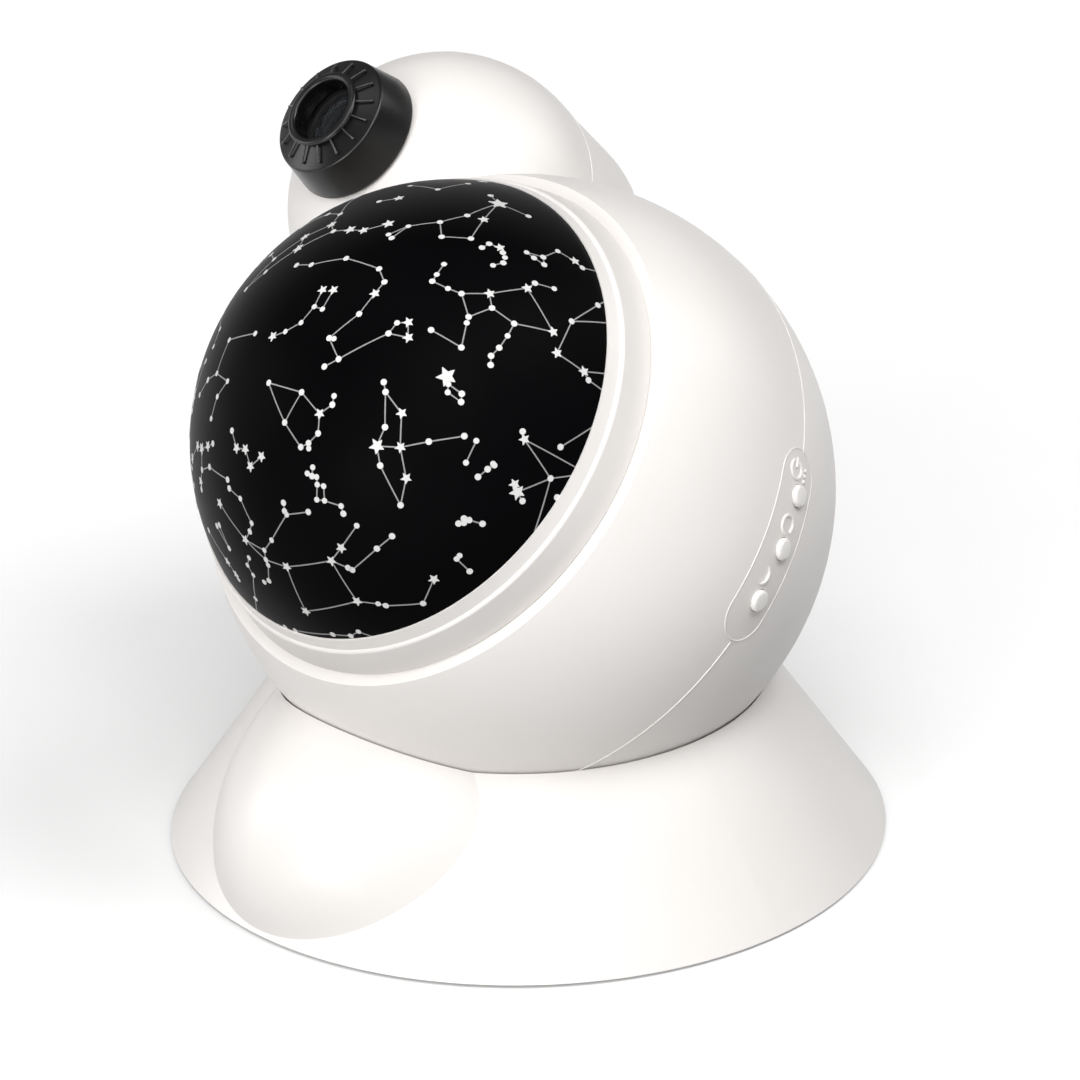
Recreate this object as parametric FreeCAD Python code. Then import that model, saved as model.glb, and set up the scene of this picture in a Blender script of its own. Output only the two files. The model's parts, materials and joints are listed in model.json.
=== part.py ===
import FreeCAD, Part
import math
import os

from FreeCAD import Placement, Rotation, Vector

os.makedirs("parts", exist_ok=True)

# Lengths are millimetres and angles are degrees. +Z is up and the front faces -Y.
# The origin is the middle of the non-slip pad's lower face.
# Most pieces are drawn in the ball frame: its origin is the ball's centre, its Z is the
# star dome's axis, its X is the side with the buttons. A bearing is an angle about that
# axis, from the ball frame's Y towards its X.

# Ball and its two housing shells
ball_radius = 82.0
ball_floor_gap = 14.0         # ball's underside above the base's lower edge
dome_elevation = 41.0         # dome axis above the horizontal, at rest
shell_wall = 2.4
seam_drop = 10.0              # seam plane behind the ball's centre
seam_gap = 0.3
tongue_reach = 2.5            # tongue past the seam, and the same depth behind it
tongue_wall = 1.2
tongue_gap = 0.1
overrun = 60.0                # length that cuts run past what they cut
axis_gap = 0.08               # radial clearance of running fits
part_gap = 0.3                # clearance of parts that move apart

# Upper projector head, a second smaller ball beside the dome
head_radius = 42.3
head_reach = 13.8             # head's centre past the ball's surface, level with the ball's centre
head_bearing = -50.0
head_tilt = 5.4               # optical axis leans outwards from the dome axis
head_depth = 55.0             # flat end behind the head's centre
head_end_radius = 36.0        # taper's radius at that end, before rounding
head_end_round = 25.0

# Star dome, its ring and its drive ring
lip_inset = 10.76             # front housing's flat lip is this much smaller than the ball
lip_gap = 0.6
neck_inset = 5.24             # dome ring's neck inside the lip
neck_wall = 4.5
neck_length = 6.6             # behind the lip
rim_inset = 2.1               # dome's rim inside the neck's radius
rim_rise = 12.7               # in front of the lip
dome_swell = 3.9              # dome's sphere is larger than its rim
dome_wall = 1.6
dome_skirt = 5.3
ring_face = 6.3               # width of the ring beside the dome
ring_round = 3.4
ring_taper = 2.6              # ring is narrower at its back
collar_gap = 0.4
collar_wall = 2.5
dome_fit = 0.1
dome_screw_bearings = range(15, 375, 60)

# Gears: drive ring 96 teeth inside, two-step gear 12 and 40 teeth, motor pinion 10 teeth
ring_teeth = 96
small_teeth = 12
large_teeth = 40
motor_teeth = 10
gear_inset = 6.0              # drive ring's pitch circle inside the neck
fine_module = 0.8
tip_share = 0.12              # half width of a tooth's tip, as a share of its pitch
root_share = 0.24
addendum_share = 0.8          # of the module
dedendum_share = 1.0
drive_ring_depth = 6.0
drive_ring_flange = 2.0       # outside the neck
gear_bearing = 180.0
gear_gap = 0.8                # axial gap between the drive ring and the large gear
large_gear_depth = 3.6
mesh_inset = 0.4              # pinions end this far inside what they mesh with

# Chassis, lamp and motor
chassis_bottom = 0.0
chassis_thick = 2.0
chassis_inset = 16.0          # from the ball's surface
head_room_inset = 0.3         # chassis is cut round the head, this much inside its radius
boss_inset = 9.2              # screw bosses from the ball's surface
boss_radius = 3.4
lug_radius = 4.6
boss_bearings = (38.0, 125.0, 205.0, 245.0)
screw_radius = 1.5
screw_head_radius = 2.8
screw_head_depth = 2.0
screw_reach = 8.0             # past the piece that it clamps
screw_well = 14.0             # head's depth below the chassis
well_gap = 0.4
motor_radius = 10.0
motor_flat = 7.6
motor_gap = 1.4               # between the motor's nose and its pinion
motor_nose_radius = 3.2
motor_nose = 1.2
motor_socket_wall = 1.6
motor_socket_depth = 6.0
motor_shaft_radius = 1.0
motor_shaft_sunk = 9.0
pillar_radius = 4.0
pillar_gap = 0.4
axle_radius = 1.5
axle_clip_radius = 3.0
axle_clip_depth = 0.8
axle_sunk = 12.0
hub_radius = 3.4
post_foot_radius = 9.0
post_top_radius = 5.5
post_height = 24.0
lamp_board_radius = 6.5
lamp_board_thick = 1.2
lamp_radius = 2.5
lamp_length = 6.0
board_thick = 1.6
board_length = 62.0
board_width = 40.0
board_drop = 4.0
board_back = -12.0            # board's middle, towards the lower side
standoff_radius = 2.5
standoff_inset = 4.0
chip_length = 12.0
chip_width = 9.0
chip_depth = 2.2
can_radius = 4.0
can_length = 9.0

# Control panel and its three buttons, seen along the panel's own normal
panel_bearing = 80.6
panel_drop = 9.5              # panel's middle behind the ball's centre
panel_half_length = 26.2
panel_half_width = 7.8
panel_gap = 0.2
panel_flange = 2.0
panel_flange_depth = 1.5
button_pitch = 14.5
button_shift = -1.2
button_radius = 2.9
button_rise = 1.0
button_flange = 1.0
button_flange_depth = 1.0
button_travel = 0.6
button_sunk = 7.5             # buttons start this far below the ball's surface
switch_board_sunk = 12.0
switch_board_half_length = 23.5
switch_board_half_width = 6.5
switch_side = 6.0
switch_depth = 3.0
plunger_radius = 1.7
panel_post_radius = 1.8
panel_post_at = 20.8

# Battery bay, seen along the door's own normal
door_angle = 46.0             # door's normal from the rear pole towards bearing 0
cell_radius = 7.2
cell_length = 50.0
cell_pitch = 15.6
cell_sunk = 0.7               # cells below the tray's rim
bay_gap = 0.8
contact_thick = 1.2
contact_side = 9.0
tray_wall = 1.6
tray_gap = 0.57               # between the tray's corners and the housing
door_ledge = 1.0
door_depth = 2.2
frame_wall = 1.5
door_tab_half = 6.0
door_tab_reach = 9.5          # past the door's lower edge
door_screw_inset = 4.5        # from the tab's end
door_screw_length = 7.0
door_boss_depth = 9.0
hook_half = 9.0
hook_reach = 2.4
hook_root = 4.6

# Projector head's optics, along the head's optical axis from the head's centre
knob_sunk = 2.7               # knob's back is this far below the top of the head's sphere
knob_back_radius = 18.4
knob_side = 11.7
knob_taper = 0.9
knob_edge_round = 1.3
knob_slope_rise = 3.7         # sloping face, from the side's edge to the lip
knob_lip_width = 1.2
knob_hole_radius = 9.8
sleeve_outer = 14.0
sleeve_bore = 12.0
sleeve_gap = 0.8              # between the sleeve's end and the knob's floor
sleeve_depth = 6.3            # sleeve's root below the top of the head's sphere
bead_height = 0.6
bead_offset = 4.4             # from the knob's back
bead_width = 1.2
knob_floor_depth = 5.6        # below the lip
barrel_wall = 2.12
barrel_tail = 10.0            # barrel behind the sleeve's root
barrel_sunk = 1.8             # barrel's front behind the sleeve's end
lens_shoulder = 0.8
lens_gap = 0.05
lens_sunk = 5.2               # lens behind the barrel's front
lens_edge = 1.4
lens_bulge = 1.3
retainer_depth = 1.0
plate_top = 0.0
plate_thick = 2.0
plate_inset = 5.3             # from the head's surface
plate_aperture = 8.5
plate_post_radius = 3.0
plate_post_x = -5.0
plate_post_inset = 10.0       # from the plate's edge
disc_edge = 6.4               # disc outside the circle of its windows' centres
disc_proud = 3.3              # disc's edge outside the head, for the finger
disc_lift = 1.0
disc_thick = 2.4
disc_windows = 8
window_radius = 5.6
film_thick = 0.4
disc_slot_gap = 0.6
spindle_radius = 2.0
spindle_head_radius = 4.0
spindle_head_depth = 1.0
tube_outer = 12.0
tube_bore = 10.4
tube_length = 22.0
condenser_bulge = 2.2
condenser_edge = 1.6
condenser_drop = 3.0
led_board_radius = 12.0
led_board_thick = 1.6
led_radius = 4.0
led_height = 3.0

# Base: flared skirt with a rounded front lobe, socket ring, plate and pad
base_radius = 95.1
throat_angle = 38.5           # where the skirt meets the ball, below the ball's equator
throat_gap = 0.4
base_wall = 2.4
lobe_half_length = 206.3
lobe_half_width = 88.9
lobe_centre_back = 106.6
lobe_centre_drop = 24.6
lobe_rise = 12.5
socket_drop = 4.2             # socket ring's top below the throat
socket_lip = 2.4              # ring's width at its top
socket_width = 8.9
socket_depth = 9.5
ledge_thick = 2.4
socket_gap = 0.08
socket_wall = 2.4
base_plate_thick = 2.4
base_plate_gap = 0.3
base_boss_inset = 21.1        # screw bosses from the base's edge
base_boss_radius = 3.8
base_boss_bearings = (45.0, 135.0, 225.0, 315.0)
base_boss_sunk = 1.0          # bosses end this far below the ledge's top
base_screw_length = 12.0
base_head_depth = 1.4
pad_inset = 29.1              # from the base's edge
pad_thick = 1.6
pad_proud = 1.0

# Places that follow from the sizes
seam = -seam_drop
ball_height = ball_radius + ball_floor_gap
ball_z = pad_proud + ball_height
head_offset = ball_radius + head_reach
lip_radius = ball_radius - lip_inset
lip_height = math.sqrt(ball_radius ** 2 - lip_radius ** 2)
neck_radius = lip_radius - neck_inset
neck_end = lip_height - neck_length
neck_bore = neck_radius + axis_gap
rim_radius = neck_radius - rim_inset
rim_height = lip_height + rim_rise
dome_radius = rim_radius + dome_swell
ring_outer = rim_radius + ring_face
ring_back = lip_height + lip_gap
dome_centre = rim_height - math.sqrt(dome_radius ** 2 - rim_radius ** 2)
drive_ring_bottom = neck_end - drive_ring_depth
ring_pitch_radius = neck_radius - gear_inset
coarse_module = 2 * ring_pitch_radius / ring_teeth
small_pitch_radius = coarse_module * small_teeth / 2
large_pitch_radius = fine_module * large_teeth / 2
motor_pitch_radius = fine_module * motor_teeth / 2
gear_circle = ring_pitch_radius - small_pitch_radius
motor_circle = gear_circle - large_pitch_radius - motor_pitch_radius
chassis_top = chassis_bottom + chassis_thick
large_top = drive_ring_bottom - gear_gap
large_bottom = large_top - large_gear_depth
small_top = neck_end - mesh_inset
motor_top = large_bottom - motor_gap - motor_nose
boss_circle = ball_radius - boss_inset
button_bottom = ball_radius - button_sunk
switch_board_top = ball_radius - switch_board_sunk

# Battery bay
bay_half_length = cell_length / 2 + contact_thick + bay_gap / 2
bay_half_width = cell_pitch + cell_radius + bay_gap
door_half_length = bay_half_length + door_ledge
door_half_width = bay_half_width + door_ledge
tray_reach = ball_radius - shell_wall - tray_gap
tray_corner = math.hypot(bay_half_length + tray_wall, bay_half_width + tray_wall)
tray_top = math.sqrt(tray_reach ** 2 - tray_corner ** 2)
cell_height = tray_top - cell_radius - cell_sunk

# Head's optics
knob_back = head_radius - knob_sunk
knob_front = knob_back + knob_side
knob_front_radius = knob_back_radius - knob_taper
knob_lip = knob_front + knob_slope_rise
knob_floor = knob_lip - knob_floor_depth
sleeve_end = knob_floor - sleeve_gap
sleeve_root = head_radius - sleeve_depth
bead_at = knob_back + bead_offset
barrel_outer = sleeve_bore - axis_gap
barrel_bore = barrel_outer - barrel_wall
barrel_back = sleeve_root - barrel_tail
barrel_front = sleeve_end - barrel_sunk
lens_bore = barrel_bore + lens_shoulder
lens_back = barrel_front - lens_sunk
plate_radius = head_radius - plate_inset
plate_post_y = plate_radius - plate_post_inset
disc_offset = (head_radius + disc_proud - disc_edge) / 2
disc_radius = disc_offset + disc_edge

# Base
throat_radius = (ball_radius + throat_gap) * math.cos(math.radians(throat_angle))
throat_height = ball_height - (ball_radius + throat_gap) * math.sin(math.radians(throat_angle))
skirt_slope = math.atan2(base_radius - throat_radius, throat_height)
socket_top = throat_height - socket_drop
socket_outer = math.sqrt((ball_radius + socket_gap) ** 2 - (ball_height - socket_top) ** 2) + socket_lip
ledge_bore = socket_outer - socket_width
ledge_top = socket_top - socket_depth
base_boss_circle = base_radius - base_boss_inset
pad_radius = base_radius - pad_inset


def bearing(angle):
    turn = math.radians(angle)
    return Vector(math.sin(turn), math.cos(turn), 0)


def aim(origin, z_axis, x_axis):
    return Placement(origin, Rotation(x_axis, z_axis.cross(x_axis), z_axis, "ZXY"))


def lean(angle, outward):
    turn = math.radians(angle)
    axis = Vector(0, 0, 1) * math.cos(turn) + outward * math.sin(turn)
    across = outward * math.cos(turn) - Vector(0, 0, 1) * math.sin(turn)
    return axis, across


ball_place = Placement(Vector(0, 0, ball_z), Rotation(Vector(1, 0, 0), 90 - dome_elevation))
head_centre = bearing(head_bearing) * head_offset
head_place = aim(head_centre, *lean(head_tilt, bearing(head_bearing)))
panel_lean = math.degrees(math.asin(panel_drop / ball_radius))
panel_out = bearing(panel_bearing) * math.cos(math.radians(panel_lean))
panel_out = panel_out - Vector(0, 0, 1) * math.sin(math.radians(panel_lean))
panel_place = aim(Vector(0, 0, 0), panel_out, bearing(panel_bearing - 90))
door_turn = math.radians(door_angle)
door_out = Vector(0, math.sin(door_turn), -math.cos(door_turn))
door_place = aim(Vector(0, 0, 0), door_out, Vector(1, 0, 0))


def put(shape, place):
    moved = shape.copy()
    moved.Placement = place.multiply(moved.Placement)
    return moved


def save(name, shape, *places):
    for place in places:
        shape = put(shape, place)
    shape.exportStep("parts/" + name + ".step")


def sphere(radius, centre=Vector(0, 0, 0)):
    return Part.makeSphere(radius, centre, Vector(0, 0, 1), -90, 90, 360)


def rod(radius, bottom, top, at=Vector(0, 0, 0)):
    return Part.makeCylinder(radius, top - bottom, Vector(at.x, at.y, bottom))


def tube(outer, inner, bottom, top, at=Vector(0, 0, 0)):
    return rod(outer, bottom, top, at).cut(rod(inner, bottom, top, at))


def block(half_x, half_y, bottom, top, at=Vector(0, 0, 0)):
    corner = Vector(at.x - half_x, at.y - half_y, bottom)
    return Part.makeBox(2 * half_x, 2 * half_y, top - bottom, corner)


def capsule(half_length, half_width, bottom, top):
    end = Vector(half_length - half_width, 0, 0)
    shape = block(half_length - half_width, half_width, bottom, top)
    return shape.fuse([rod(half_width, bottom, top, end), rod(half_width, bottom, top, end * -1)])


def line(a, b):
    return Part.makeLine(Vector(a[0], 0, a[1]), Vector(b[0], 0, b[1]))


def bow(a, middle, b):
    ends = [Vector(point[0], 0, point[1]) for point in (a, middle, b)]
    return Part.Arc(*ends).toShape()


def turned(edges):
    face = Part.Face(Part.Wire(edges))
    return face.revolve(Vector(0, 0, 0), Vector(0, 0, 1), 360)


def turned_corners(corners):
    """Turn a closed outline of (radius, height, corner rounding) about the Z axis."""
    count = len(corners)
    starts, arcs = [], []
    for index, (x, z, rounding) in enumerate(corners):
        here = Vector(x, 0, z)
        before = Vector(corners[index - 1][0], 0, corners[index - 1][1]) - here
        after = Vector(corners[(index + 1) % count][0], 0, corners[(index + 1) % count][1]) - here
        before.normalize()
        after.normalize()
        half = before.getAngle(after) / 2
        if rounding == 0:
            starts.append((here, here))
            arcs.append(None)
            continue
        reach = rounding / math.tan(half)
        middle = before + after
        middle.normalize()
        near = here + middle * (rounding / math.sin(half) - rounding)
        starts.append((here + before * reach, here + after * reach))
        arcs.append(near)
    edges = []
    for index in range(count):
        first, last = starts[index]
        if arcs[index] is not None:
            edges.append(Part.Arc(first, arcs[index], last).toShape())
        following = starts[(index + 1) % count][0]
        edges.append(Part.makeLine(last, following))
    return turned(edges)


def slab(bottom, top):
    return block(overrun + ball_radius * 2, overrun + ball_radius * 2, bottom, top)


# Housing shells
def head_solid(inset):
    """Head's sphere in front, and behind it a taper with a rounded end."""
    radius = head_radius - inset
    depth = head_depth - inset
    rounding = head_end_round - inset
    start = math.sqrt(head_radius ** 2 - seam_drop ** 2) - inset
    corners = [(0, -depth, 0), (head_end_radius - inset, -depth, rounding), (start, seam, 0), (0, seam, 0)]
    back = turned_corners(corners)
    front = sphere(radius).cut(block(head_radius, head_radius, -head_radius, seam))
    shape = front.fuse(back)
    return put(shape, Placement(head_centre, Rotation()))


def body_solid(inset):
    return sphere(ball_radius - inset).fuse(head_solid(inset))


def body_shell():
    return body_solid(0).cut(body_solid(shell_wall))


def disc_room(gap):
    at = Vector(disc_offset, 0, 0)
    bottom = plate_top + disc_lift - gap
    return put(rod(disc_radius + gap, bottom, bottom + disc_thick + 2 * gap, at), head_place)


def panel_room(extra):
    length = panel_half_length + extra
    width = panel_half_width + extra
    return put(capsule(length, width, button_bottom / 2, ball_radius + overrun), panel_place)


def front_housing():
    shell = body_shell().common(slab(seam + seam_gap / 2, overrun * 2))
    bosses = [rod(boss_radius, chassis_top, ball_radius, bearing(angle) * boss_circle)
              for angle in boss_bearings]
    inside = sphere(ball_radius - shell_wall / 2)
    shell = shell.fuse([boss.common(inside) for boss in bosses])
    posts = [rod(plate_post_radius, plate_top, head_radius, Vector(plate_post_x, side * plate_post_y, 0))
             for side in (-1, 1)]
    head_inside = sphere(head_radius - shell_wall / 2)
    shell = shell.fuse([put(post.common(head_inside), head_place) for post in posts])
    collar_bottom = neck_end + collar_gap
    collar = tube(neck_bore + collar_wall, neck_bore, collar_bottom, lip_height)
    flange = tube(ball_radius, neck_bore, lip_height - shell_wall, lip_height)
    shell = shell.fuse([collar.common(inside), flange.common(sphere(ball_radius))])
    crown = rod(math.sqrt(ball_radius ** 2 - lip_height ** 2), lip_height, ball_radius + overrun)
    shell = shell.cut([crown, rod(neck_bore, collar_bottom - overrun / 2, ball_radius)])
    sleeve = tube(sleeve_outer, sleeve_bore, sleeve_root, sleeve_end)
    groove = tube(sleeve_outer, sleeve_outer - bead_height, bead_at - bead_width, bead_at + bead_width)
    shell = shell.fuse(put(sleeve, head_place))
    bore = rod(sleeve_bore, sleeve_root - shell_wall, head_radius + overrun)
    knob_seat = tube(knob_back_radius + part_gap, sleeve_outer, knob_back - part_gap, head_radius)
    screws = [rod(screw_radius, chassis_top, chassis_top + screw_reach, bearing(angle) * boss_circle)
              for angle in boss_bearings]
    plate_screws = [put(rod(screw_radius, plate_top, plate_top + screw_reach,
                            Vector(plate_post_x, side * plate_post_y, 0)), head_place)
                    for side in (-1, 1)]
    cuts = [put(piece, head_place) for piece in (bore, groove, knob_seat)]
    cuts += [disc_room(disc_slot_gap), panel_room(panel_gap)]
    return shell.cut(cuts + screws + plate_screws)


def rear_housing():
    shell = body_shell().common(slab(-ball_radius * 2, seam - seam_gap / 2))
    step = body_solid(shell_wall).cut(body_solid(shell_wall + tongue_wall))
    tongue = body_solid(shell_wall + tongue_gap).cut(body_solid(shell_wall + tongue_wall))
    step = step.common(slab(seam - tongue_reach, seam - seam_gap / 2))
    tongue = tongue.common(slab(seam - tongue_reach, seam + tongue_reach))
    shell = shell.fuse([step, tongue])
    inside = sphere(ball_radius - shell_wall / 2)
    bosses = [rod(boss_radius, -ball_radius, chassis_bottom, bearing(angle) * boss_circle).common(inside)
              for angle in boss_bearings]
    frame = block(door_half_length + frame_wall, door_half_width + frame_wall, tray_top, ball_radius)
    frame = put(frame, door_place).common(inside)
    at = door_screw_place()
    door_boss = rod(boss_radius, door_screw_seat() - door_boss_depth, ball_radius, at)
    shell = shell.fuse(bosses + [frame, put(door_boss, door_place).common(inside)])
    wells = [rod(screw_head_radius + well_gap, -ball_radius, chassis_bottom - screw_well,
                 bearing(angle) * boss_circle) for angle in boss_bearings]
    holes = [rod(screw_radius, -ball_radius, chassis_bottom, bearing(angle) * boss_circle)
             for angle in boss_bearings]
    bay = block(bay_half_length, bay_half_width, cell_height, ball_radius + overrun)
    mouth = put(door_block(part_gap), door_place).cut(sphere(ball_radius - door_depth))
    panel_cut = panel_room(panel_flange + panel_gap + part_gap).common(sphere(ball_radius - shell_wall))
    door_hole = rod(screw_radius, door_screw_seat() - door_screw_length, ball_radius, at)
    cuts = [put(bay, door_place), mouth, panel_room(panel_gap), panel_cut,
            put(door_hole, door_place), put(door_hook(part_gap), door_place)]
    return shell.cut(wells + holes + cuts)


def housing_screws():
    screws = []
    for angle in boss_bearings:
        at = bearing(angle) * boss_circle
        seat = chassis_bottom - screw_well
        head = rod(screw_head_radius, seat - screw_head_depth, seat, at)
        screws.append(head.fuse(rod(screw_radius, seat, chassis_top + screw_reach, at)))
    return Part.makeCompound(screws)


# Star dome and its drive
def star_dome():
    inner = dome_radius - dome_wall
    skirt_inner = rim_radius - dome_wall
    foot = rim_height - dome_skirt
    inner_rim = dome_centre + math.sqrt(inner ** 2 - skirt_inner ** 2)
    half = math.pi / 4
    outer_mid = (dome_radius * math.sin(half), dome_centre + dome_radius * math.cos(half))
    inner_mid = (inner * math.sin(half), dome_centre + inner * math.cos(half))
    top, under = (0, dome_centre + dome_radius), (0, dome_centre + inner)
    edges = [bow(top, outer_mid, (rim_radius, rim_height)),
             line((rim_radius, rim_height), (rim_radius, foot)),
             line((rim_radius, foot), (skirt_inner, foot)),
             line((skirt_inner, foot), (skirt_inner, inner_rim)),
             bow((skirt_inner, inner_rim), inner_mid, under),
             line(under, top)]
    return turned(edges)


def dome_ring():
    seat = rim_height - dome_skirt
    neck_inner = neck_radius - neck_wall
    bore = rim_radius + dome_fit
    corners = [(bore, rim_height, 0),
               (ring_outer, rim_height, ring_round),
               (ring_outer - ring_taper, ring_back, 0),
               (neck_radius, ring_back, 0),
               (neck_radius, neck_end, 0),
               (neck_inner, neck_end, 0),
               (neck_inner, seat, 0),
               (bore, seat, 0)]
    ring = turned_corners(corners)
    return ring.cut([rod(screw_radius, neck_end, neck_end + screw_reach, at) for at in dome_screw_places()])


def dome_screw_places():
    middle = neck_radius - neck_wall / 2
    return [bearing(angle) * middle for angle in dome_screw_bearings]


def toothed_face(teeth, module, inside, start):
    pitch = 2 * math.pi / teeth
    middle = module * teeth / 2
    tip = middle - addendum_share * module if inside else middle + addendum_share * module
    root = middle + dedendum_share * module if inside else middle - dedendum_share * module
    points = []
    for tooth in range(teeth):
        centre = start + tooth * pitch
        for radius, share in ((root, -root_share), (tip, -tip_share), (tip, tip_share), (root, root_share)):
            angle = centre + share * pitch
            points.append(Vector(radius * math.cos(angle), radius * math.sin(angle), 0))
    points.append(points[0])
    return Part.Face(Part.makePolygon(points))


def toothed(teeth, module, inside, start, bottom, top):
    face = toothed_face(teeth, module, inside, start)
    face.translate(Vector(0, 0, bottom))
    return face.extrude(Vector(0, 0, top - bottom))


mesh_angle = math.radians(90 - gear_bearing)
half_ring_pitch = math.pi / ring_teeth
half_large_pitch = math.pi / large_teeth
gear_at = bearing(gear_bearing) * gear_circle
motor_at = bearing(gear_bearing) * motor_circle


def drive_ring():
    ring = rod(neck_radius + drive_ring_flange, drive_ring_bottom, neck_end)
    start = mesh_angle + half_ring_pitch
    hollow = toothed(ring_teeth, coarse_module, True, start, drive_ring_bottom, neck_end)
    ring = ring.cut(hollow)
    wells = [rod(screw_head_radius, drive_ring_bottom, drive_ring_bottom + screw_head_depth, at)
             for at in dome_screw_places()]
    holes = [rod(screw_radius, drive_ring_bottom, neck_end, at) for at in dome_screw_places()]
    return ring.cut(wells + holes)


def dome_screws():
    seat = drive_ring_bottom + screw_head_depth
    screws = [rod(screw_head_radius, drive_ring_bottom, seat, at).fuse(
        rod(screw_radius, seat, neck_end + screw_reach, at)) for at in dome_screw_places()]
    return Part.makeCompound(screws)


def two_step_gear():
    large = toothed(large_teeth, fine_module, False, mesh_angle + half_large_pitch, large_bottom, large_top)
    small = toothed(small_teeth, coarse_module, False, mesh_angle, drive_ring_bottom + mesh_inset, small_top)
    hub = rod(hub_radius, large_bottom, small_top)
    gear = large.fuse([small, hub]).cut(rod(axle_radius + axis_gap, large_bottom, small_top))
    gear.translate(gear_at)
    return gear


def gear_axle():
    top = small_top + mesh_inset
    axle = rod(axle_radius, large_bottom - axle_sunk, top + axle_clip_depth, gear_at)
    return axle.fuse(rod(axle_clip_radius, top, top + axle_clip_depth, gear_at))


def motor_pinion():
    pinion = toothed(motor_teeth, fine_module, False, mesh_angle, large_bottom, large_top)
    pinion.translate(motor_at)
    return pinion.cut(rod(motor_shaft_radius, large_bottom, large_top, motor_at))


def motor_shaft():
    return rod(motor_shaft_radius, motor_top - motor_shaft_sunk, large_top, motor_at)


def drive_motor():
    can = rod(motor_radius, chassis_top, motor_top, motor_at)
    can = can.common(block(motor_radius, motor_flat, chassis_top, motor_top, motor_at))
    nose = rod(motor_nose_radius, motor_top, motor_top + motor_nose, motor_at)
    bore = rod(motor_shaft_radius + axis_gap, motor_top - motor_shaft_sunk - axis_gap,
               motor_top + motor_nose, motor_at)
    return can.fuse(nose).cut(bore)


# Chassis and what stands on it
def chassis():
    plate = rod(ball_radius - chassis_inset, chassis_bottom, chassis_top)
    plate = plate.cut(rod(head_radius - head_room_inset, chassis_bottom, chassis_top, head_centre))
    pillar_top = large_bottom - pillar_gap
    socket_top = chassis_top + motor_socket_depth
    socket = block(motor_radius + motor_socket_wall, motor_flat + motor_socket_wall,
                   chassis_bottom, socket_top, motor_at)
    lugs = []
    for angle in boss_bearings:
        at = bearing(angle) * boss_circle
        lug = rod(lug_radius, chassis_bottom, chassis_top, at)
        neck = rod(lug_radius, chassis_bottom, chassis_top, bearing(angle) * (boss_circle - lug_radius))
        lugs.extend([lug, neck])
    plate = plate.fuse(lugs + [socket, rod(pillar_radius, chassis_bottom, pillar_top, gear_at)])
    standoffs = [rod(standoff_radius, chassis_bottom - board_drop, chassis_bottom, at)
                 for at in standoff_places()]
    plate = plate.fuse(standoffs)
    can = rod(motor_radius, chassis_top, socket_top, motor_at)
    can = can.common(block(motor_radius, motor_flat, chassis_top, socket_top, motor_at))
    holes = [rod(screw_radius, chassis_bottom, chassis_top, bearing(angle) * boss_circle)
             for angle in boss_bearings]
    return plate.cut([can, rod(axle_radius, large_bottom - axle_sunk, pillar_top, gear_at)] + holes)


def standoff_places():
    x = board_length / 2 - standoff_inset
    y = board_width / 2 - standoff_inset
    return [Vector(i * x, board_back + j * y, 0) for i in (-1, 1) for j in (-1, 1)]


def lamp_post():
    height = post_height
    return Part.makeCone(post_foot_radius, post_top_radius, height, Vector(0, 0, chassis_top))


def star_lamp():
    bottom = chassis_top + post_height
    board = rod(lamp_board_radius, bottom, bottom + lamp_board_thick)
    top = bottom + lamp_board_thick + lamp_length
    lamp = rod(lamp_radius, bottom + lamp_board_thick, top - lamp_radius)
    return board.fuse([lamp, sphere(lamp_radius, Vector(0, 0, top - lamp_radius))])


def main_board():
    top = chassis_bottom - board_drop
    bottom = top - board_thick
    middle = Vector(0, board_back, 0)
    board = block(board_length / 2, board_width / 2, bottom, top, middle)
    chip = block(chip_length / 2, chip_width / 2, bottom - chip_depth, bottom, middle)
    at = Vector(board_length / 4, board_back, 0)
    can = rod(can_radius, bottom - can_length, bottom, at)
    plug = block(chip_width / 2, chip_depth, bottom - chip_depth * 2, bottom, at * -1 + middle * 2)
    return board.fuse([chip, can, plug])


# Control panel, buttons and switches
def control_panel():
    inner = ball_radius - shell_wall - panel_gap - panel_flange_depth
    face = capsule(panel_half_length, panel_half_width, button_bottom, ball_radius + overrun)
    face = face.common(sphere(ball_radius)).cut(sphere(inner))
    wide = capsule(panel_half_length + panel_flange, panel_half_width + panel_flange,
                   switch_board_top, ball_radius + overrun)
    flange = wide.common(sphere(ball_radius - shell_wall - panel_gap)).cut(sphere(inner))
    posts = [rod(panel_post_radius, switch_board_top, ball_radius, Vector(side * panel_post_at, 0, 0))
             for side in (-1, 1)]
    posts = [post.common(sphere(inner + panel_flange_depth / 2)) for post in posts]
    holes = [rod(button_radius + part_gap / 2, switch_board_top, ball_radius + overrun, at)
             for at in button_places()]
    return face.fuse([flange] + posts).cut(holes)


def button_places():
    return [Vector(step * button_pitch, button_shift, 0) for step in (1, 0, -1)]


def button(at):
    cap = rod(button_radius, button_bottom, ball_radius + overrun, at)
    cap = cap.common(sphere(ball_radius + button_rise))
    flange = rod(button_radius + button_flange, button_bottom, button_bottom + button_flange_depth, at)
    return cap.fuse(flange)


def switch_board():
    board = block(switch_board_half_length, switch_board_half_width,
                  switch_board_top - board_thick, switch_board_top)
    return board


def switches():
    shapes = []
    for at in button_places():
        top = switch_board_top + switch_depth
        body = block(switch_side / 2, switch_side / 2, switch_board_top, top, at)
        plunger = rod(plunger_radius, top, button_bottom - button_travel - part_gap, at)
        shapes.append(body.fuse(plunger))
    return Part.makeCompound(shapes)


# Battery bay
def battery_tray():
    floor = cell_height - cell_radius - tray_wall
    tray = block(bay_half_length + tray_wall, bay_half_width + tray_wall, floor, tray_top)
    return tray.cut(block(bay_half_length, bay_half_width, floor + tray_wall, tray_top))


def cell_places():
    return [Vector(0, row * cell_pitch, cell_height) for row in (-1, 0, 1)]


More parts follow.
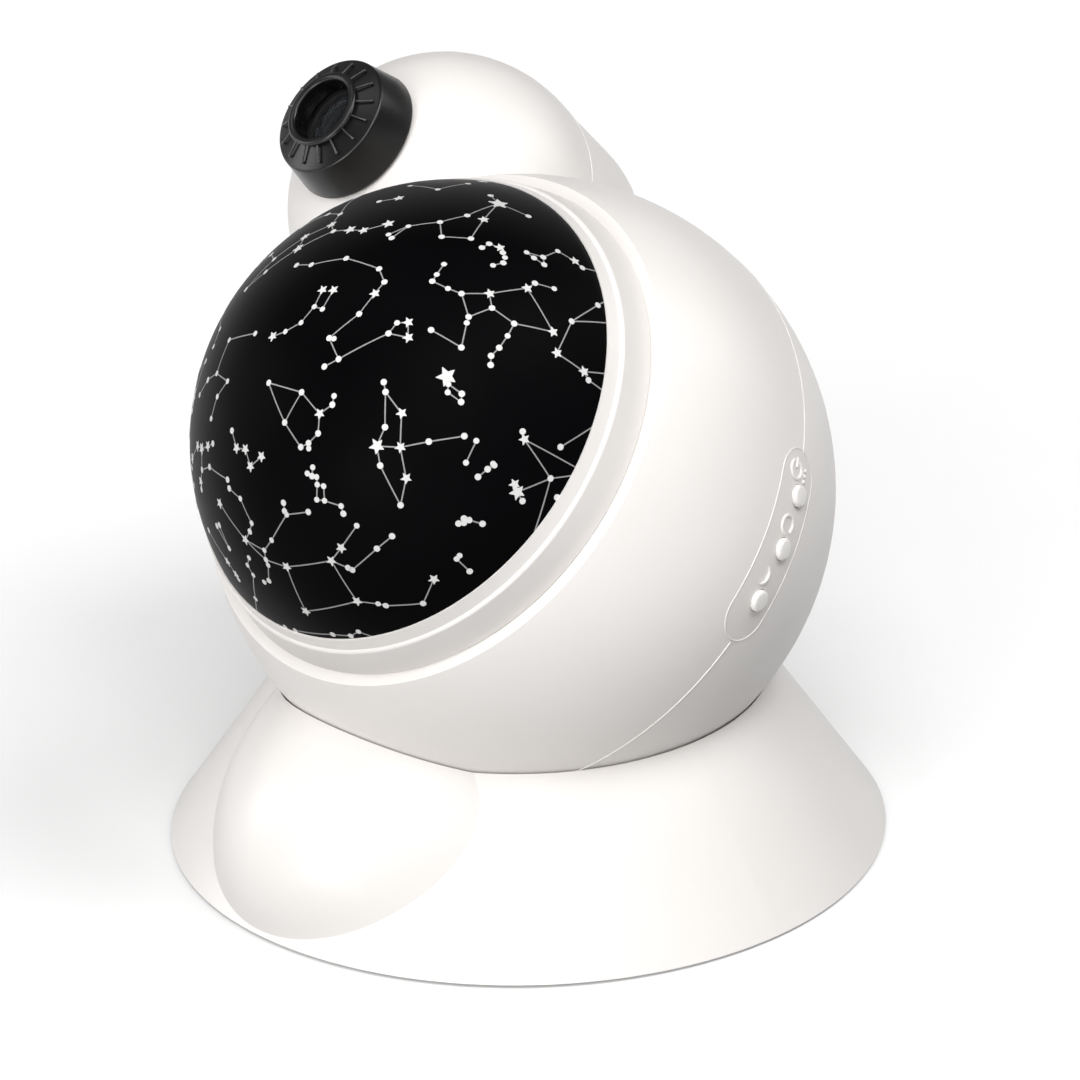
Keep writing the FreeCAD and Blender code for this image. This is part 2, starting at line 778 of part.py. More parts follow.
def battery_cells():
    cells = []
    for at in cell_places():
        start = Vector(-cell_length / 2, at.y, at.z)
        cells.append(Part.makeCylinder(cell_radius, cell_length, start, Vector(1, 0, 0)))
    return Part.makeCompound(cells)


def battery_contacts():
    plates = []
    half = contact_thick / 2
    for at in cell_places():
        for side in (-1, 1):
            x = side * (cell_length / 2 + half)
            bottom = cell_height - contact_side / 2
            plates.append(block(half, contact_side / 2, bottom, bottom + contact_side, Vector(x, at.y, 0)))
    return Part.makeCompound(plates)


def door_screw_place():
    return Vector(0, door_half_width + door_tab_reach - door_screw_inset, 0)


def door_block(gap):
    body = block(door_half_length + gap, door_half_width + gap, cell_height, ball_radius + overrun)
    reach = door_tab_reach / 2
    tab = block(door_tab_half + gap, reach + gap, cell_height, ball_radius + overrun,
                Vector(0, door_half_width + reach, 0))
    return body.fuse(tab)


def door_hook(gap):
    """Flat hook under the housing's wall at the door's upper edge."""
    top = ball_radius - shell_wall - part_gap + gap
    bottom = top - door_depth - 2 * gap
    start = door_half_width - hook_root
    length = (hook_reach + hook_root) / 2 + gap
    hook = block(hook_half + gap, length, cell_height, ball_radius, Vector(0, -start - length + gap, 0))
    return hook.common(sphere(top)).cut(sphere(bottom))


def battery_door():
    door = door_block(0).common(sphere(ball_radius)).cut(sphere(ball_radius - door_depth))
    root = block(hook_half, hook_root / 2, cell_height, ball_radius,
                 Vector(0, part_gap + hook_root / 2 - door_half_width, 0))
    root = root.common(sphere(ball_radius - door_depth / 2))
    root = root.cut(sphere(ball_radius - shell_wall - part_gap - door_depth))
    door = door.fuse([door_hook(0), root])
    at = door_screw_place()
    hole = rod(screw_radius, cell_height, ball_radius + overrun, at)
    well = rod(screw_head_radius + well_gap, door_screw_seat(), ball_radius, at)
    return door.cut([hole, well])


def door_screw_seat():
    reach = door_screw_place().y
    return math.sqrt(ball_radius ** 2 - reach ** 2) - base_head_depth


def door_screw():
    at = door_screw_place()
    seat = door_screw_seat()
    head = rod(screw_head_radius, seat, ball_radius, at).common(sphere(ball_radius))
    return head.fuse(rod(screw_radius, seat - door_screw_length, seat, at))


# Projector head
def focus_knob():
    """Outer cone, sloping face with a lip, and a bore that turns on the sleeve with a snap bead."""
    bore = sleeve_outer + axis_gap
    bead = bore - bead_height
    low, high = bead_at - bead_width / 2, bead_at + bead_width / 2
    lip = knob_hole_radius + knob_lip_width
    corners = [(bore, knob_back, 0),
               (knob_back_radius, knob_back, 0),
               (knob_front_radius, knob_front, knob_edge_round),
               (lip, knob_lip, 0),
               (knob_hole_radius, knob_lip, 0),
               (knob_hole_radius, knob_floor, 0),
               (bore, knob_floor, 0),
               (bore, high, 0),
               (bead, high, 0),
               (bead, low, 0),
               (bore, low, 0)]
    return turned_corners(corners)


def lens_barrel():
    step = lens_back
    body = tube(barrel_outer, barrel_bore, barrel_back, barrel_front)
    return body.cut(rod(lens_bore, step, barrel_front))


def lens_solid(radius, bottom, edge, bulge):
    """Two equal bulges on a thin edge."""
    top = bottom + 2 * bulge + edge
    low, high = bottom + bulge, top - bulge
    reach = (radius ** 2 + bulge ** 2) / (2 * bulge)
    half = math.asin(radius / reach) / 2
    rise = reach * math.cos(half) - (reach - bulge)
    out = reach * math.sin(half)
    edges = [bow((0, bottom), (out, low - rise), (radius, low)),
             line((radius, low), (radius, high)),
             bow((radius, high), (out, high + rise), (0, top)),
             line((0, top), (0, bottom))]
    return turned(edges)


def objective_lens():
    return lens_solid(lens_bore - lens_gap, lens_back, lens_edge, lens_bulge)


def lens_retainer():
    top = barrel_front
    return tube(lens_bore, barrel_bore, top - retainer_depth, top)


def optics_frame():
    plate = rod(plate_radius, plate_top - plate_thick, plate_top)
    light = rod(tube_outer, plate_top - tube_length, plate_top - plate_thick)
    frame = plate.fuse(light)
    top = plate_top - plate_thick
    cuts = [rod(plate_aperture, top, plate_top),
            rod(tube_bore, plate_top - tube_length, top),
            rod(spindle_radius, top, plate_top, Vector(disc_offset, 0, 0))]
    cuts += [rod(screw_radius, top, plate_top, at) for at in plate_screw_places()]
    return frame.cut(cuts)


def plate_screw_places():
    return [Vector(plate_post_x, side * plate_post_y, 0) for side in (-1, 1)]


def optics_screws():
    seat = plate_top - plate_thick
    screws = [rod(screw_head_radius, seat - screw_head_depth, seat, at).fuse(
        rod(screw_radius, seat, plate_top + screw_reach, at)) for at in plate_screw_places()]
    return Part.makeCompound(screws)


def window_places():
    places = []
    for index in range(disc_windows):
        turn = math.radians(360 * index / disc_windows)
        reach = disc_offset
        places.append(Vector(disc_offset - reach * math.cos(turn), reach * math.sin(turn), 0))
    return places


def image_disc():
    bottom = plate_top + disc_lift
    top = bottom + disc_thick
    centre = Vector(disc_offset, 0, 0)
    disc = rod(disc_radius, bottom, top, centre)
    holes = [rod(window_radius, bottom, top, at) for at in window_places()]
    return disc.cut(holes + [rod(spindle_radius + axis_gap, bottom, top, centre)])


def picture_films():
    middle = plate_top + disc_lift + disc_thick / 2
    films = [rod(window_radius, middle - film_thick / 2, middle + film_thick / 2, at)
             for at in window_places()]
    return Part.makeCompound(films)


def disc_spindle():
    centre = Vector(disc_offset, 0, 0)
    head = plate_top + disc_lift + disc_thick + part_gap
    pin = rod(spindle_radius, plate_top - plate_thick, head, centre)
    washer = tube(spindle_head_radius, spindle_radius, plate_top, plate_top + disc_lift - part_gap, centre)
    return pin.fuse([rod(spindle_head_radius, head, head + spindle_head_depth, centre), washer])


def condenser_lens():
    depth = 2 * condenser_bulge + condenser_edge
    return lens_solid(tube_bore, plate_top - plate_thick - condenser_drop - depth,
                      condenser_edge, condenser_bulge)


def projector_lamp():
    top = plate_top - tube_length
    board = rod(led_board_radius, top - led_board_thick, top)
    return board.fuse(Part.makeCone(led_radius, led_radius / 2, led_height, Vector(0, 0, top)))


# Base
def skirt(inset):
    """Straight flared skirt up to where it meets the ball."""
    across = inset / math.cos(skirt_slope)
    return Part.makeCone(base_radius - across, throat_radius - across, throat_height)


def lobe(inset):
    """Front lobe: an ellipse turned about its long axis, which rises towards the front."""
    arc = Part.Ellipse(Vector(0, 0, 0), lobe_half_length - inset, lobe_half_width - inset).toShape(0, math.pi)
    chord = Part.makeLine(arc.Vertexes[-1].Point, arc.Vertexes[0].Point)
    body = Part.Face(Part.Wire([arc, chord])).revolve(Vector(0, 0, 0), Vector(1, 0, 0), 360)
    turn = math.radians(lobe_rise)
    forward = Vector(0, -math.cos(turn), math.sin(turn))
    centre = Vector(0, lobe_centre_back, -lobe_centre_drop)
    body = put(body, Placement(centre, Rotation(forward, Vector(1, 0, 0), Vector(0, 0, 0), "XYZ")))
    window = Part.makeBox(2 * base_radius, base_radius + overrun, ball_height,
                          Vector(-base_radius, -base_radius - overrun, 0))
    return body.common(window)


def base_bosses():
    top = ledge_top - base_boss_sunk
    return [rod(base_boss_radius, base_plate_thick, top, bearing(angle) * base_boss_circle)
            for angle in base_boss_bearings]


def base_shell():
    outer = skirt(0).fuse(lobe(0))
    room = sphere(ball_radius + throat_gap, Vector(0, 0, ball_height))
    outer = outer.cut(room)
    inner = skirt(base_wall).fuse(lobe(base_wall))
    shell = outer.cut(inner)
    ledge = tube(base_radius, ledge_bore, ledge_top - ledge_thick, ledge_top)
    guide_inner = socket_outer + axis_gap
    guide = tube(guide_inner + socket_wall, guide_inner, ledge_top - ledge_thick, socket_top)
    shell = shell.fuse([piece.common(outer) for piece in [ledge, guide] + base_bosses()])
    holes = [rod(screw_radius, base_plate_thick, base_plate_thick + base_screw_length,
                 bearing(angle) * base_boss_circle) for angle in base_boss_bearings]
    shell = shell.cut(holes + [rod(base_plate_radius() + base_plate_gap, 0, base_plate_thick)])
    shell.translate(Vector(0, 0, pad_proud))
    return shell


def base_plate_radius():
    across = base_wall / math.cos(skirt_slope)
    return base_radius - across - base_plate_thick * math.tan(skirt_slope) - base_plate_gap


def base_plate():
    plate = rod(base_plate_radius(), 0, base_plate_thick)
    recess = rod(pad_radius + base_plate_gap, 0, pad_thick - pad_proud)
    heads = [rod(screw_head_radius + base_plate_gap, 0, base_head_depth, bearing(angle) * base_boss_circle)
             for angle in base_boss_bearings]
    holes = [rod(screw_radius, 0, base_plate_thick, bearing(angle) * base_boss_circle)
             for angle in base_boss_bearings]
    plate = plate.cut([recess] + heads + holes)
    plate.translate(Vector(0, 0, pad_proud))
    return plate


def base_screws():
    screws = []
    for angle in base_boss_bearings:
        at = bearing(angle) * base_boss_circle
        head = rod(screw_head_radius, 0, base_head_depth, at)
        shank = rod(screw_radius, base_head_depth, base_plate_thick + base_screw_length, at)
        screws.append(head.fuse(shank))
    group = Part.makeCompound(screws)
    group.translate(Vector(0, 0, pad_proud))
    return group


def socket_ring():
    ring = tube(socket_outer, ledge_bore, ledge_top + axis_gap, socket_top)
    ring = ring.cut(sphere(ball_radius + socket_gap, Vector(0, 0, ball_height)))
    ring.translate(Vector(0, 0, pad_proud))
    return ring


save("base_shell", base_shell())
save("base_plate", base_plate())
save("base_pad", rod(pad_radius, 0, pad_thick))
save("base_screws", base_screws())
save("socket_ring", socket_ring())
save("front_housing", front_housing(), ball_place)
save("rear_housing", rear_housing(), ball_place)
save("housing_screws", housing_screws(), ball_place)
save("star_dome", star_dome(), ball_place)
save("dome_ring", dome_ring(), ball_place)
save("drive_ring", drive_ring(), ball_place)
save("dome_screws", dome_screws(), ball_place)
save("two_step_gear", two_step_gear(), ball_place)
save("gear_axle", gear_axle(), ball_place)
save("motor_pinion", motor_pinion(), ball_place)
save("motor_shaft", motor_shaft(), ball_place)
save("drive_motor", drive_motor(), ball_place)
save("chassis", chassis(), ball_place)
save("lamp_post", lamp_post(), ball_place)
save("star_lamp", star_lamp(), ball_place)
save("main_board", main_board(), ball_place)
save("control_panel", control_panel(), panel_place, ball_place)
for name, at in zip(("light_button", "rotate_button", "sleep_button"), button_places()):
    save(name, button(at), panel_place, ball_place)
save("switch_board", switch_board(), panel_place, ball_place)
save("switches", switches(), panel_place, ball_place)
save("battery_tray", battery_tray(), door_place, ball_place)
save("battery_cells", battery_cells(), door_place, ball_place)
save("battery_contacts", battery_contacts(), door_place, ball_place)
save("battery_door", battery_door(), door_place, ball_place)
save("door_screw", door_screw(), door_place, ball_place)
save("focus_knob", focus_knob(), head_place, ball_place)
save("lens_barrel", lens_barrel(), head_place, ball_place)
save("objective_lens", objective_lens(), head_place, ball_place)
save("lens_retainer", lens_retainer(), head_place, ball_place)
save("optics_frame", optics_frame(), head_place, ball_place)
save("optics_screws", optics_screws(), head_place, ball_place)
save("image_disc", image_disc(), head_place, ball_place)
save("picture_films", picture_films(), head_place, ball_place)
save("disc_spindle", disc_spindle(), head_place, ball_place)
save("condenser_lens", condenser_lens(), head_place, ball_place)
save("projector_lamp", projector_lamp(), head_place, ball_place)
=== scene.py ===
import bpy
import json
from math import acos, asin, atan2, cos, degrees, pi, radians, sin, sqrt, tan
from mathutils import Matrix, Vector


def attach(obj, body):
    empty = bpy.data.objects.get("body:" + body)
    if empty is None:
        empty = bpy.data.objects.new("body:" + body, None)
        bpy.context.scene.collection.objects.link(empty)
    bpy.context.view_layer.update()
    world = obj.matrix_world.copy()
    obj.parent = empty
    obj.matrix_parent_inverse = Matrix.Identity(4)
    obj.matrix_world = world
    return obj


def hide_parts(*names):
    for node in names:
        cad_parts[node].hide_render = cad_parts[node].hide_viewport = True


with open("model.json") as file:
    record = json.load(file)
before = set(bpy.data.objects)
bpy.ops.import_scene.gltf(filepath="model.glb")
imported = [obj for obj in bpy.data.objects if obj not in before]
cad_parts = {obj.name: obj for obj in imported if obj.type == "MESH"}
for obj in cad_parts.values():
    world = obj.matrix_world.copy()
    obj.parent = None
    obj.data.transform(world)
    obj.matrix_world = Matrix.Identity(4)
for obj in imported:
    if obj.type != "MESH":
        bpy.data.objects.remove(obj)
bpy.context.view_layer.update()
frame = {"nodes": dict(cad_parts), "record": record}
mm = 0.001
print("frame loaded:", len(frame["nodes"]), "nodes")

# Places of the ball, the projector head and the control panel, in millimetres and degrees, as in the part
ball = {"radius": 82.0, "height": 97.0, "elevation": 41.0, "seam": -10.0}
head = {"radius": 42.3, "reach": 13.8, "bearing": -50.0, "tilt": 5.4}
panel = {"bearing": 80.6, "drop": 9.5, "halfLength": 26.2, "halfWidth": 7.8, "bead": 0.22, "beadSunk": 0.05}


def bearing(angle):
    return Vector((sin(radians(angle)), cos(radians(angle)), 0))


def aim(origin, zAxis, xAxis):
    turn = Matrix((xAxis, zAxis.cross(xAxis), zAxis)).transposed().to_4x4()
    return Matrix.Translation(origin * mm) @ turn


ballPlace = Matrix.Translation((0, 0, ball["height"] * mm))
ballPlace = ballPlace @ Matrix.Rotation(radians(90 - ball["elevation"]), 4, "X")
headOut = bearing(head["bearing"])
headCentre = headOut * (ball["radius"] + head["reach"])
headAxis = Vector((0, 0, cos(radians(head["tilt"])))) + headOut * sin(radians(head["tilt"]))
headAcross = headOut * cos(radians(head["tilt"])) - Vector((0, 0, sin(radians(head["tilt"]))))
headPlace = ballPlace @ aim(headCentre, headAxis, headAcross)
panelLean = asin(panel["drop"] / ball["radius"])
panelOut = bearing(panel["bearing"]) * cos(panelLean) - Vector((0, 0, sin(panelLean)))
panelPlace = ballPlace @ aim(Vector((0, 0, 0)), panelOut, bearing(panel["bearing"] - 90))


class Flow:  # a shader socket that can be used in sums
    def __init__(self, tree, socket):
        self.tree = tree
        self.socket = socket

    def maths(self, kind, other, swapped=False):
        step = self.tree.nodes.new("ShaderNodeMath")
        step.operation = kind
        pair = (other, self) if swapped else (self, other)
        for place, value in enumerate(pair):
            if isinstance(value, Flow):
                self.tree.links.new(value.socket, step.inputs[place])
            else:
                step.inputs[place].default_value = value
        return Flow(self.tree, step.outputs[0])

    def __add__(self, other):
        return self.maths("ADD", other)

    def __radd__(self, other):
        return self.maths("ADD", other, True)

    def __sub__(self, other):
        return self.maths("SUBTRACT", other)

    def __rsub__(self, other):
        return self.maths("SUBTRACT", other, True)

    def __mul__(self, other):
        return self.maths("MULTIPLY", other)

    def __rmul__(self, other):
        return self.maths("MULTIPLY", other, True)


class Finish:  # one material; its varying values go to the skin shader
    def __init__(self, name):
        self.material = bpy.data.materials.new(name)
        self.material.use_nodes = True
        self.tree = self.material.node_tree
        self.tree.nodes.clear()
        self.end = self.tree.nodes.new("ShaderNodeOutputMaterial")
        self.skin = self.tree.nodes.new("ShaderNodeBsdfPrincipled")
        self.tree.links.new(self.skin.outputs[0], self.end.inputs["Surface"])

    def node(self, kind, settings=None, inputs=None, out=0):
        step = self.tree.nodes.new(kind)
        for key, value in (settings or {}).items():
            if key == "stops":
                ramp = step.color_ramp
                while len(ramp.elements) < len(value):
                    ramp.elements.new(0.5)
                for element, (place, colour) in zip(ramp.elements, value):
                    element.position = place
                    element.color = (*colour, 1)
            else:
                setattr(step, key, value)
        self.feed(step, inputs or {})
        return Flow(self.tree, step.outputs[out])

    def feed(self, step, inputs):
        for key, value in inputs.items():
            socket = step.inputs[key]
            if isinstance(value, Flow):
                self.tree.links.new(value.socket, socket)
            else:
                socket.default_value = value

    def place(self, scale=(1, 1, 1)):
        spot = self.node("ShaderNodeTexCoord", out="Object")
        return self.node("ShaderNodeMapping", inputs={"Vector": spot, "Scale": scale})

    def noise(self, scale, detail=2.0, rough=0.5, where=None):
        inputs = {"Vector": where or self.place(), "Scale": scale, "Detail": detail, "Roughness": rough}
        return self.node("ShaderNodeTexNoise", inputs=inputs)

    def specks(self, scale, size):
        cells = self.node("ShaderNodeTexVoronoi", inputs={"Vector": self.place(), "Scale": scale})
        return self.span(cells, size, size * 0.5)

    def span(self, value, low, high, toLow=0.0, toHigh=1.0):
        inputs = {"Value": value, "From Min": low, "From Max": high, "To Min": toLow, "To Max": toHigh}
        return self.node("ShaderNodeMapRange", {"clamp": True}, inputs)

    def blend(self, amount, first, second):
        inputs = {"Factor": amount, 6: first if isinstance(first, Flow) else (*first, 1),
                  7: second if isinstance(second, Flow) else (*second, 1)}
        return self.node("ShaderNodeMix", {"data_type": "RGBA"}, inputs, out=2)

    def bump(self, height, depth, strength=1.0, over=None):
        inputs = {"Height": height, "Distance": depth, "Strength": strength}
        if over:
            inputs["Normal"] = over
        return self.node("ShaderNodeBump", inputs=inputs)

    def set(self, **values):
        self.feed(self.skin, {key.replace("_", " "): value for key, value in values.items()})
        return self


# Scales of the patterns that every moulded plastic shares; the depth is in metres
plasticSkin = {"drift": 16, "marks": 75, "wave": 45, "waveDepth": 0.00003, "dust": 430, "dustSize": 0.055}


# Moulded plastic: a slow drift of colour, handling marks in the gloss, spark-eroded grain and a little dust;
# where asked, a painted sheen lightens the colour at turned-away edges
def mouldedPlastic(name, light, dark, gloss, spread=0.08, grain=1100, grainDepth=0.000018, dust=0.0,
                   dustTone=0.3, sheen=0.5, paintedSheen=None):
    finish = Finish(name)
    drift = finish.noise(plasticSkin["drift"], 3)
    marks = finish.noise(plasticSkin["marks"], 4, 0.62)
    fine = finish.noise(grain, 2, 0.55)
    wave = finish.noise(plasticSkin["wave"], 1)
    colour = finish.blend(finish.span(drift, 0.35, 0.65), light, dark)
    # Painted sheen: the base colour is lightened where the surface turns away from the camera, in place of a
    # reflection
    if paintedSheen:  # a soft sheen that shows where the surface turns away
        share, tone = paintedSheen
        facing = finish.node("ShaderNodeLayerWeight", inputs={"Blend": 0.5}, out="Facing")
        turned = finish.span(facing, 0.35, 1.0)
        colour = finish.blend(turned * turned * share, colour, tone)
    if dust:
        specks = finish.specks(plasticSkin["dust"], plasticSkin["dustSize"]) * dust
        colour = finish.blend(specks, colour, (dustTone, dustTone * 0.98, dustTone * 0.95))
    rough = finish.span(marks, 0.3, 0.7, gloss - spread / 2, gloss + spread / 2)
    rough = rough + finish.span(fine, 0.3, 0.7, -0.02, 0.02)
    normal = finish.bump(fine, grainDepth, 0.5, finish.bump(wave, plasticSkin["waveDepth"], 0.4))
    return finish.set(Base_Color=colour, Roughness=rough, Normal=normal, Specular_IOR_Level=sheen)


# Turned or pressed metal with fine lines along one direction
def workedMetal(name, light, dark, gloss=0.3):
    finish = Finish(name)
    streak = finish.noise(6, 3, 0.6, finish.place((40, 40, 900)))
    marks = finish.noise(60, 3)
    colour = finish.blend(finish.span(streak, 0.3, 0.7), light, dark)
    rough = finish.span(marks, 0.3, 0.7, gloss - 0.06, gloss + 0.1)
    normal = finish.bump(streak, 0.00001, 0.4)
    return finish.set(Base_Color=colour, Roughness=rough, Metallic=1.0, Normal=normal)


def circuitFibre(name):
    finish = Finish(name)
    weave = finish.noise(1400, 1)
    tracks = finish.node("ShaderNodeTexVoronoi", {"distance": "MANHATTAN"},
                         {"Vector": finish.place(), "Scale": 260.0})
    colour = finish.blend(finish.span(tracks, 0.42, 0.46), (0.02, 0.13, 0.05), (0.035, 0.2, 0.08))
    rough = finish.span(weave, 0.3, 0.7, 0.3, 0.42)
    return finish.set(Base_Color=colour, Roughness=rough, Normal=finish.bump(tracks, 0.00002, 0.4))


def clearGlass(name):
    finish = Finish(name)
    smear = finish.noise(60, 1)
    rough = finish.span(smear, 0.4, 0.8, 0.16, 0.24)
    return finish.set(Base_Color=(0.7, 0.76, 0.82, 1), IOR=1.52, Transmission_Weight=1.0, Roughness=rough)


# Slide films for the picture disc: soft clouds of light and small sparks on night blue
def pictureFilm(name):
    finish = Finish(name)
    cloud = finish.noise(260, 6, 0.7)
    stops = [(0.35, (0.002, 0.004, 0.02)), (0.55, (0.03, 0.05, 0.16)), (0.72, (0.12, 0.09, 0.2))]
    sky = finish.node("ShaderNodeValToRGB", {"stops": stops}, {"Fac": cloud})
    colour = finish.blend(finish.specks(900, 0.16) * 0.35, sky, (0.6, 0.6, 0.58))
    return finish.set(Base_Color=colour, Roughness=finish.span(cloud, 0.3, 0.7, 0.12, 0.22))


tones = {"white": (0.84, 0.812, 0.79), "whiteShade": (0.825, 0.795, 0.77),
         "dome": (0.0014, 0.0014, 0.0017), "domeShade": (0.0022, 0.0021, 0.0025),
         "knob": (0.0024, 0.0024, 0.0024), "knobShade": (0.0036, 0.0035, 0.0034)}
finishes = {
    "white_plastic": mouldedPlastic("whiteMoulding", tones["white"], tones["whiteShade"], 0.37),
    "panel_plastic": mouldedPlastic("panelMoulding", (0.79, 0.762, 0.74), (0.77, 0.742, 0.715), 0.42,
                                    grain=1300),
    "button_plastic": mouldedPlastic("buttonMoulding", (0.86, 0.836, 0.815), (0.84, 0.815, 0.79), 0.25,
                                     0.06, 1500),
    "dark_plastic": mouldedPlastic("innerMoulding", (0.024, 0.024, 0.026), (0.017, 0.017, 0.019), 0.42,
                                   0.1, 700),
    "tray_plastic": mouldedPlastic("trayMoulding", (0.06, 0.06, 0.065), (0.045, 0.045, 0.05), 0.5, 0.1, 700),
    "acetal": mouldedPlastic("gearMoulding", (0.8, 0.79, 0.75), (0.76, 0.75, 0.7), 0.42, 0.08, 800),
    # The dome's last value is a painted sheen: its colour lightens towards the edges that turn away
    "dome_black": mouldedPlastic("domeMoulding", tones["dome"], tones["domeShade"], 0.42, 0.07, 1700,
                                 0.000007, 0.12, 0.03, 0.012, (0.9, (0.078, 0.078, 0.08))),
    "knob_black": mouldedPlastic("knobMoulding", tones["knob"], tones["knobShade"], 0.3, 0.05, 1400,
                                 0.000006, 0.03, 0.03, 0.42),
    "disc_plastic": mouldedPlastic("discMoulding", (0.03, 0.03, 0.034), (0.022, 0.022, 0.026), 0.4,
                                   0.08, 1000),
    "picture_film": pictureFilm("pictureFilm"),
    "pad_rubber": mouldedPlastic("padRubber", (0.035, 0.035, 0.036), (0.05, 0.05, 0.05), 0.75,
                                 0.1, 500, 0.0001),
    "steel": workedMetal("screwSteel", (0.6, 0.6, 0.61), (0.5, 0.5, 0.51)),
    "contact_metal": workedMetal("contactMetal", (0.75, 0.74, 0.7), (0.62, 0.61, 0.58), 0.22),
    "cell_wrap": mouldedPlastic("cellWrap", (0.12, 0.14, 0.18), (0.16, 0.18, 0.22), 0.25, 0.06, 600),
    "circuit_board": circuitFibre("circuitFibre"),
    "switch_plastic": mouldedPlastic("switchMoulding", (0.03, 0.03, 0.03), (0.04, 0.04, 0.04), 0.45,
                                     0.1, 900),
    "lens_glass": clearGlass("lensGlass"),
}
for subpart in frame["record"]["subparts"]:
    node = frame["nodes"][subpart["node"]]
    node.data.materials.clear()
    node.data.materials.append(finishes[subpart["material_slot"]].material)
print("finishes made:", len(finishes))


def selectOnly(*objects):
    bpy.ops.object.select_all(action="DESELECT")
    for item in objects:
        item.select_set(True)
    bpy.context.view_layer.objects.active = objects[0]


def addNew(operator, name, **sizes):
    bpy.ops.object.select_all(action="DESELECT")
    operator(**sizes)
    piece = bpy.context.object
    piece.name = name
    piece.data.name = name
    return piece


def copyOf(piece, place):
    twin = piece.copy()
    twin.data = piece.data.copy()
    bpy.context.collection.objects.link(twin)
    twin.matrix_world = place @ piece.matrix_world
    return twin


def joined(name, pieces):
    selectOnly(*pieces)
    if len(pieces) > 1:
        bpy.ops.object.join()
    bpy.ops.object.transform_apply(location=True, rotation=True, scale=True)
    piece = bpy.context.object
    piece.name = name
    piece.data.name = name
    return piece


# Picks vertices by their place and leaves the piece in edit mode
def pick(piece, test):
    selectOnly(piece)
    bpy.ops.object.mode_set(mode="EDIT")
    bpy.ops.mesh.select_mode(type="VERT")
    bpy.ops.mesh.select_all(action="DESELECT")
    bpy.ops.object.mode_set(mode="OBJECT")
    for vertex in piece.data.vertices:
        vertex.select = test(vertex.co / mm)
    bpy.ops.object.mode_set(mode="EDIT")


def closeUp(piece):
    selectOnly(piece)
    bpy.ops.object.mode_set(mode="EDIT")
    bpy.ops.mesh.select_all(action="SELECT")
    bpy.ops.mesh.remove_doubles(threshold=0.002 * mm)
    bpy.ops.mesh.normals_make_consistent(inside=False)
    bpy.ops.object.mode_set(mode="OBJECT")


def useModifier(piece, kind, **settings):
    selectOnly(piece)
    modifier = piece.modifiers.new(kind.lower(), kind)
    for key, value in settings.items():
        setattr(modifier, key, value)
    bpy.ops.object.modifier_apply(modifier=modifier.name)


# Moves the finished mesh to its place, smooths it and hangs it on its body
def settle(piece, place, finish, body, angle=35, instead=()):
    piece.data.transform(place)
    piece.data.materials.clear()
    piece.data.materials.append(finish.material)
    selectOnly(piece)
    bpy.ops.object.shade_smooth_by_angle(angle=radians(angle))
    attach(piece, body)
    if instead:
        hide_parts(*instead)
    return piece


def arc(centre, radius, start, end, steps):  # degrees from the outward direction
    turns = [radians(start + (end - start) * index / steps) for index in range(steps + 1)]
    return [(centre[0] + radius * cos(turn), centre[1] + radius * sin(turn)) for turn in turns]


# Softens the corners of an outline of (radius, height, rounding). The rounding places the arc's centre;
# slerp gives vectors of length 1, so every arc is drawn 1 mm from its centre
def softened(corners, steps=5):
    points = []
    for index, (x, z, rounding) in enumerate(corners):
        here = Vector((x, z))
        if not rounding:
            points.append((x, z))
            continue
        before = (Vector(corners[index - 1][:2]) - here).normalized()
        after = (Vector(corners[(index + 1) % len(corners)][:2]) - here).normalized()
        half = before.angle(after) / 2
        middle = here + (before + after).normalized() * rounding / sin(half)
        start, end = here + before * rounding / tan(half), here + after * rounding / tan(half)
        for step in range(steps + 1):
            turned = (start - middle).slerp(end - middle, step / steps)
            points.append(tuple(middle + turned))
    return points


# Turns an outline about the Z axis; a merged plane lays the first point and the rest are extruded from it
def turnOutline(name, outline, steps):
    piece = addNew(bpy.ops.mesh.primitive_plane_add, name, size=mm)
    bpy.ops.object.mode_set(mode="EDIT")
    bpy.ops.mesh.select_all(action="SELECT")
    bpy.ops.mesh.merge(type="CENTER")
    last = Vector((outline[0][0], 0, outline[0][1])) * mm
    bpy.ops.transform.translate(value=last)
    for radius, height in outline[1:] + outline[:1]:
        here = Vector((radius, 0, height)) * mm
        bpy.ops.mesh.extrude_vertices_move(TRANSFORM_OT_translate={"value": here - last})
        last = here
    bpy.ops.mesh.select_all(action="SELECT")
    bpy.ops.mesh.remove_doubles(threshold=0.0005 * mm)
    bpy.ops.mesh.spin(steps=steps, angle=2 * pi, center=(0, 0, 0), axis=(0, 0, 1))
    bpy.ops.object.mode_set(mode="OBJECT")
    closeUp(piece)
    return piece


# Turns an open or closed run of edges into a round bead
def beadAlong(piece, radius):
    selectOnly(piece)
    bpy.ops.object.convert(target="CURVE")
    piece = bpy.context.object
    piece.data.bevel_depth = radius * mm
    piece.data.bevel_resolution = 2
    piece.data.use_fill_caps = True
    bpy.ops.object.convert(target="MESH")
    closeUp(bpy.context.object)
    return bpy.context.object


# Star dome: a thin bowl on a straight skirt
dome = {"radius": 67.8, "wall": 1.6, "rim": 63.9, "rimHeight": 53.3, "skirt": 5.3, "steps": 128,
        "arcSteps": 30, "innerArcSteps": 14}
domeCentre = dome["rimHeight"] - sqrt(dome["radius"] ** 2 - dome["rim"] ** 2)
innerRadius, innerRim = dome["radius"] - dome["wall"], dome["rim"] - dome["wall"]
rimTurn = degrees(acos(dome["rim"] / dome["radius"]))
innerTurn = degrees(acos(innerRim / innerRadius))
skirtEnd = dome["rimHeight"] - dome["skirt"]
outline = arc((0, domeCentre), dome["radius"], 90, rimTurn, dome["arcSteps"])
outline += [(dome["rim"], skirtEnd), (innerRim, skirtEnd)]
outline += arc((0, domeCentre), innerRadius, innerTurn, 90, dome["innerArcSteps"])
starDome = turnOutline("starDome", outline, dome["steps"])
print("star dome turned")

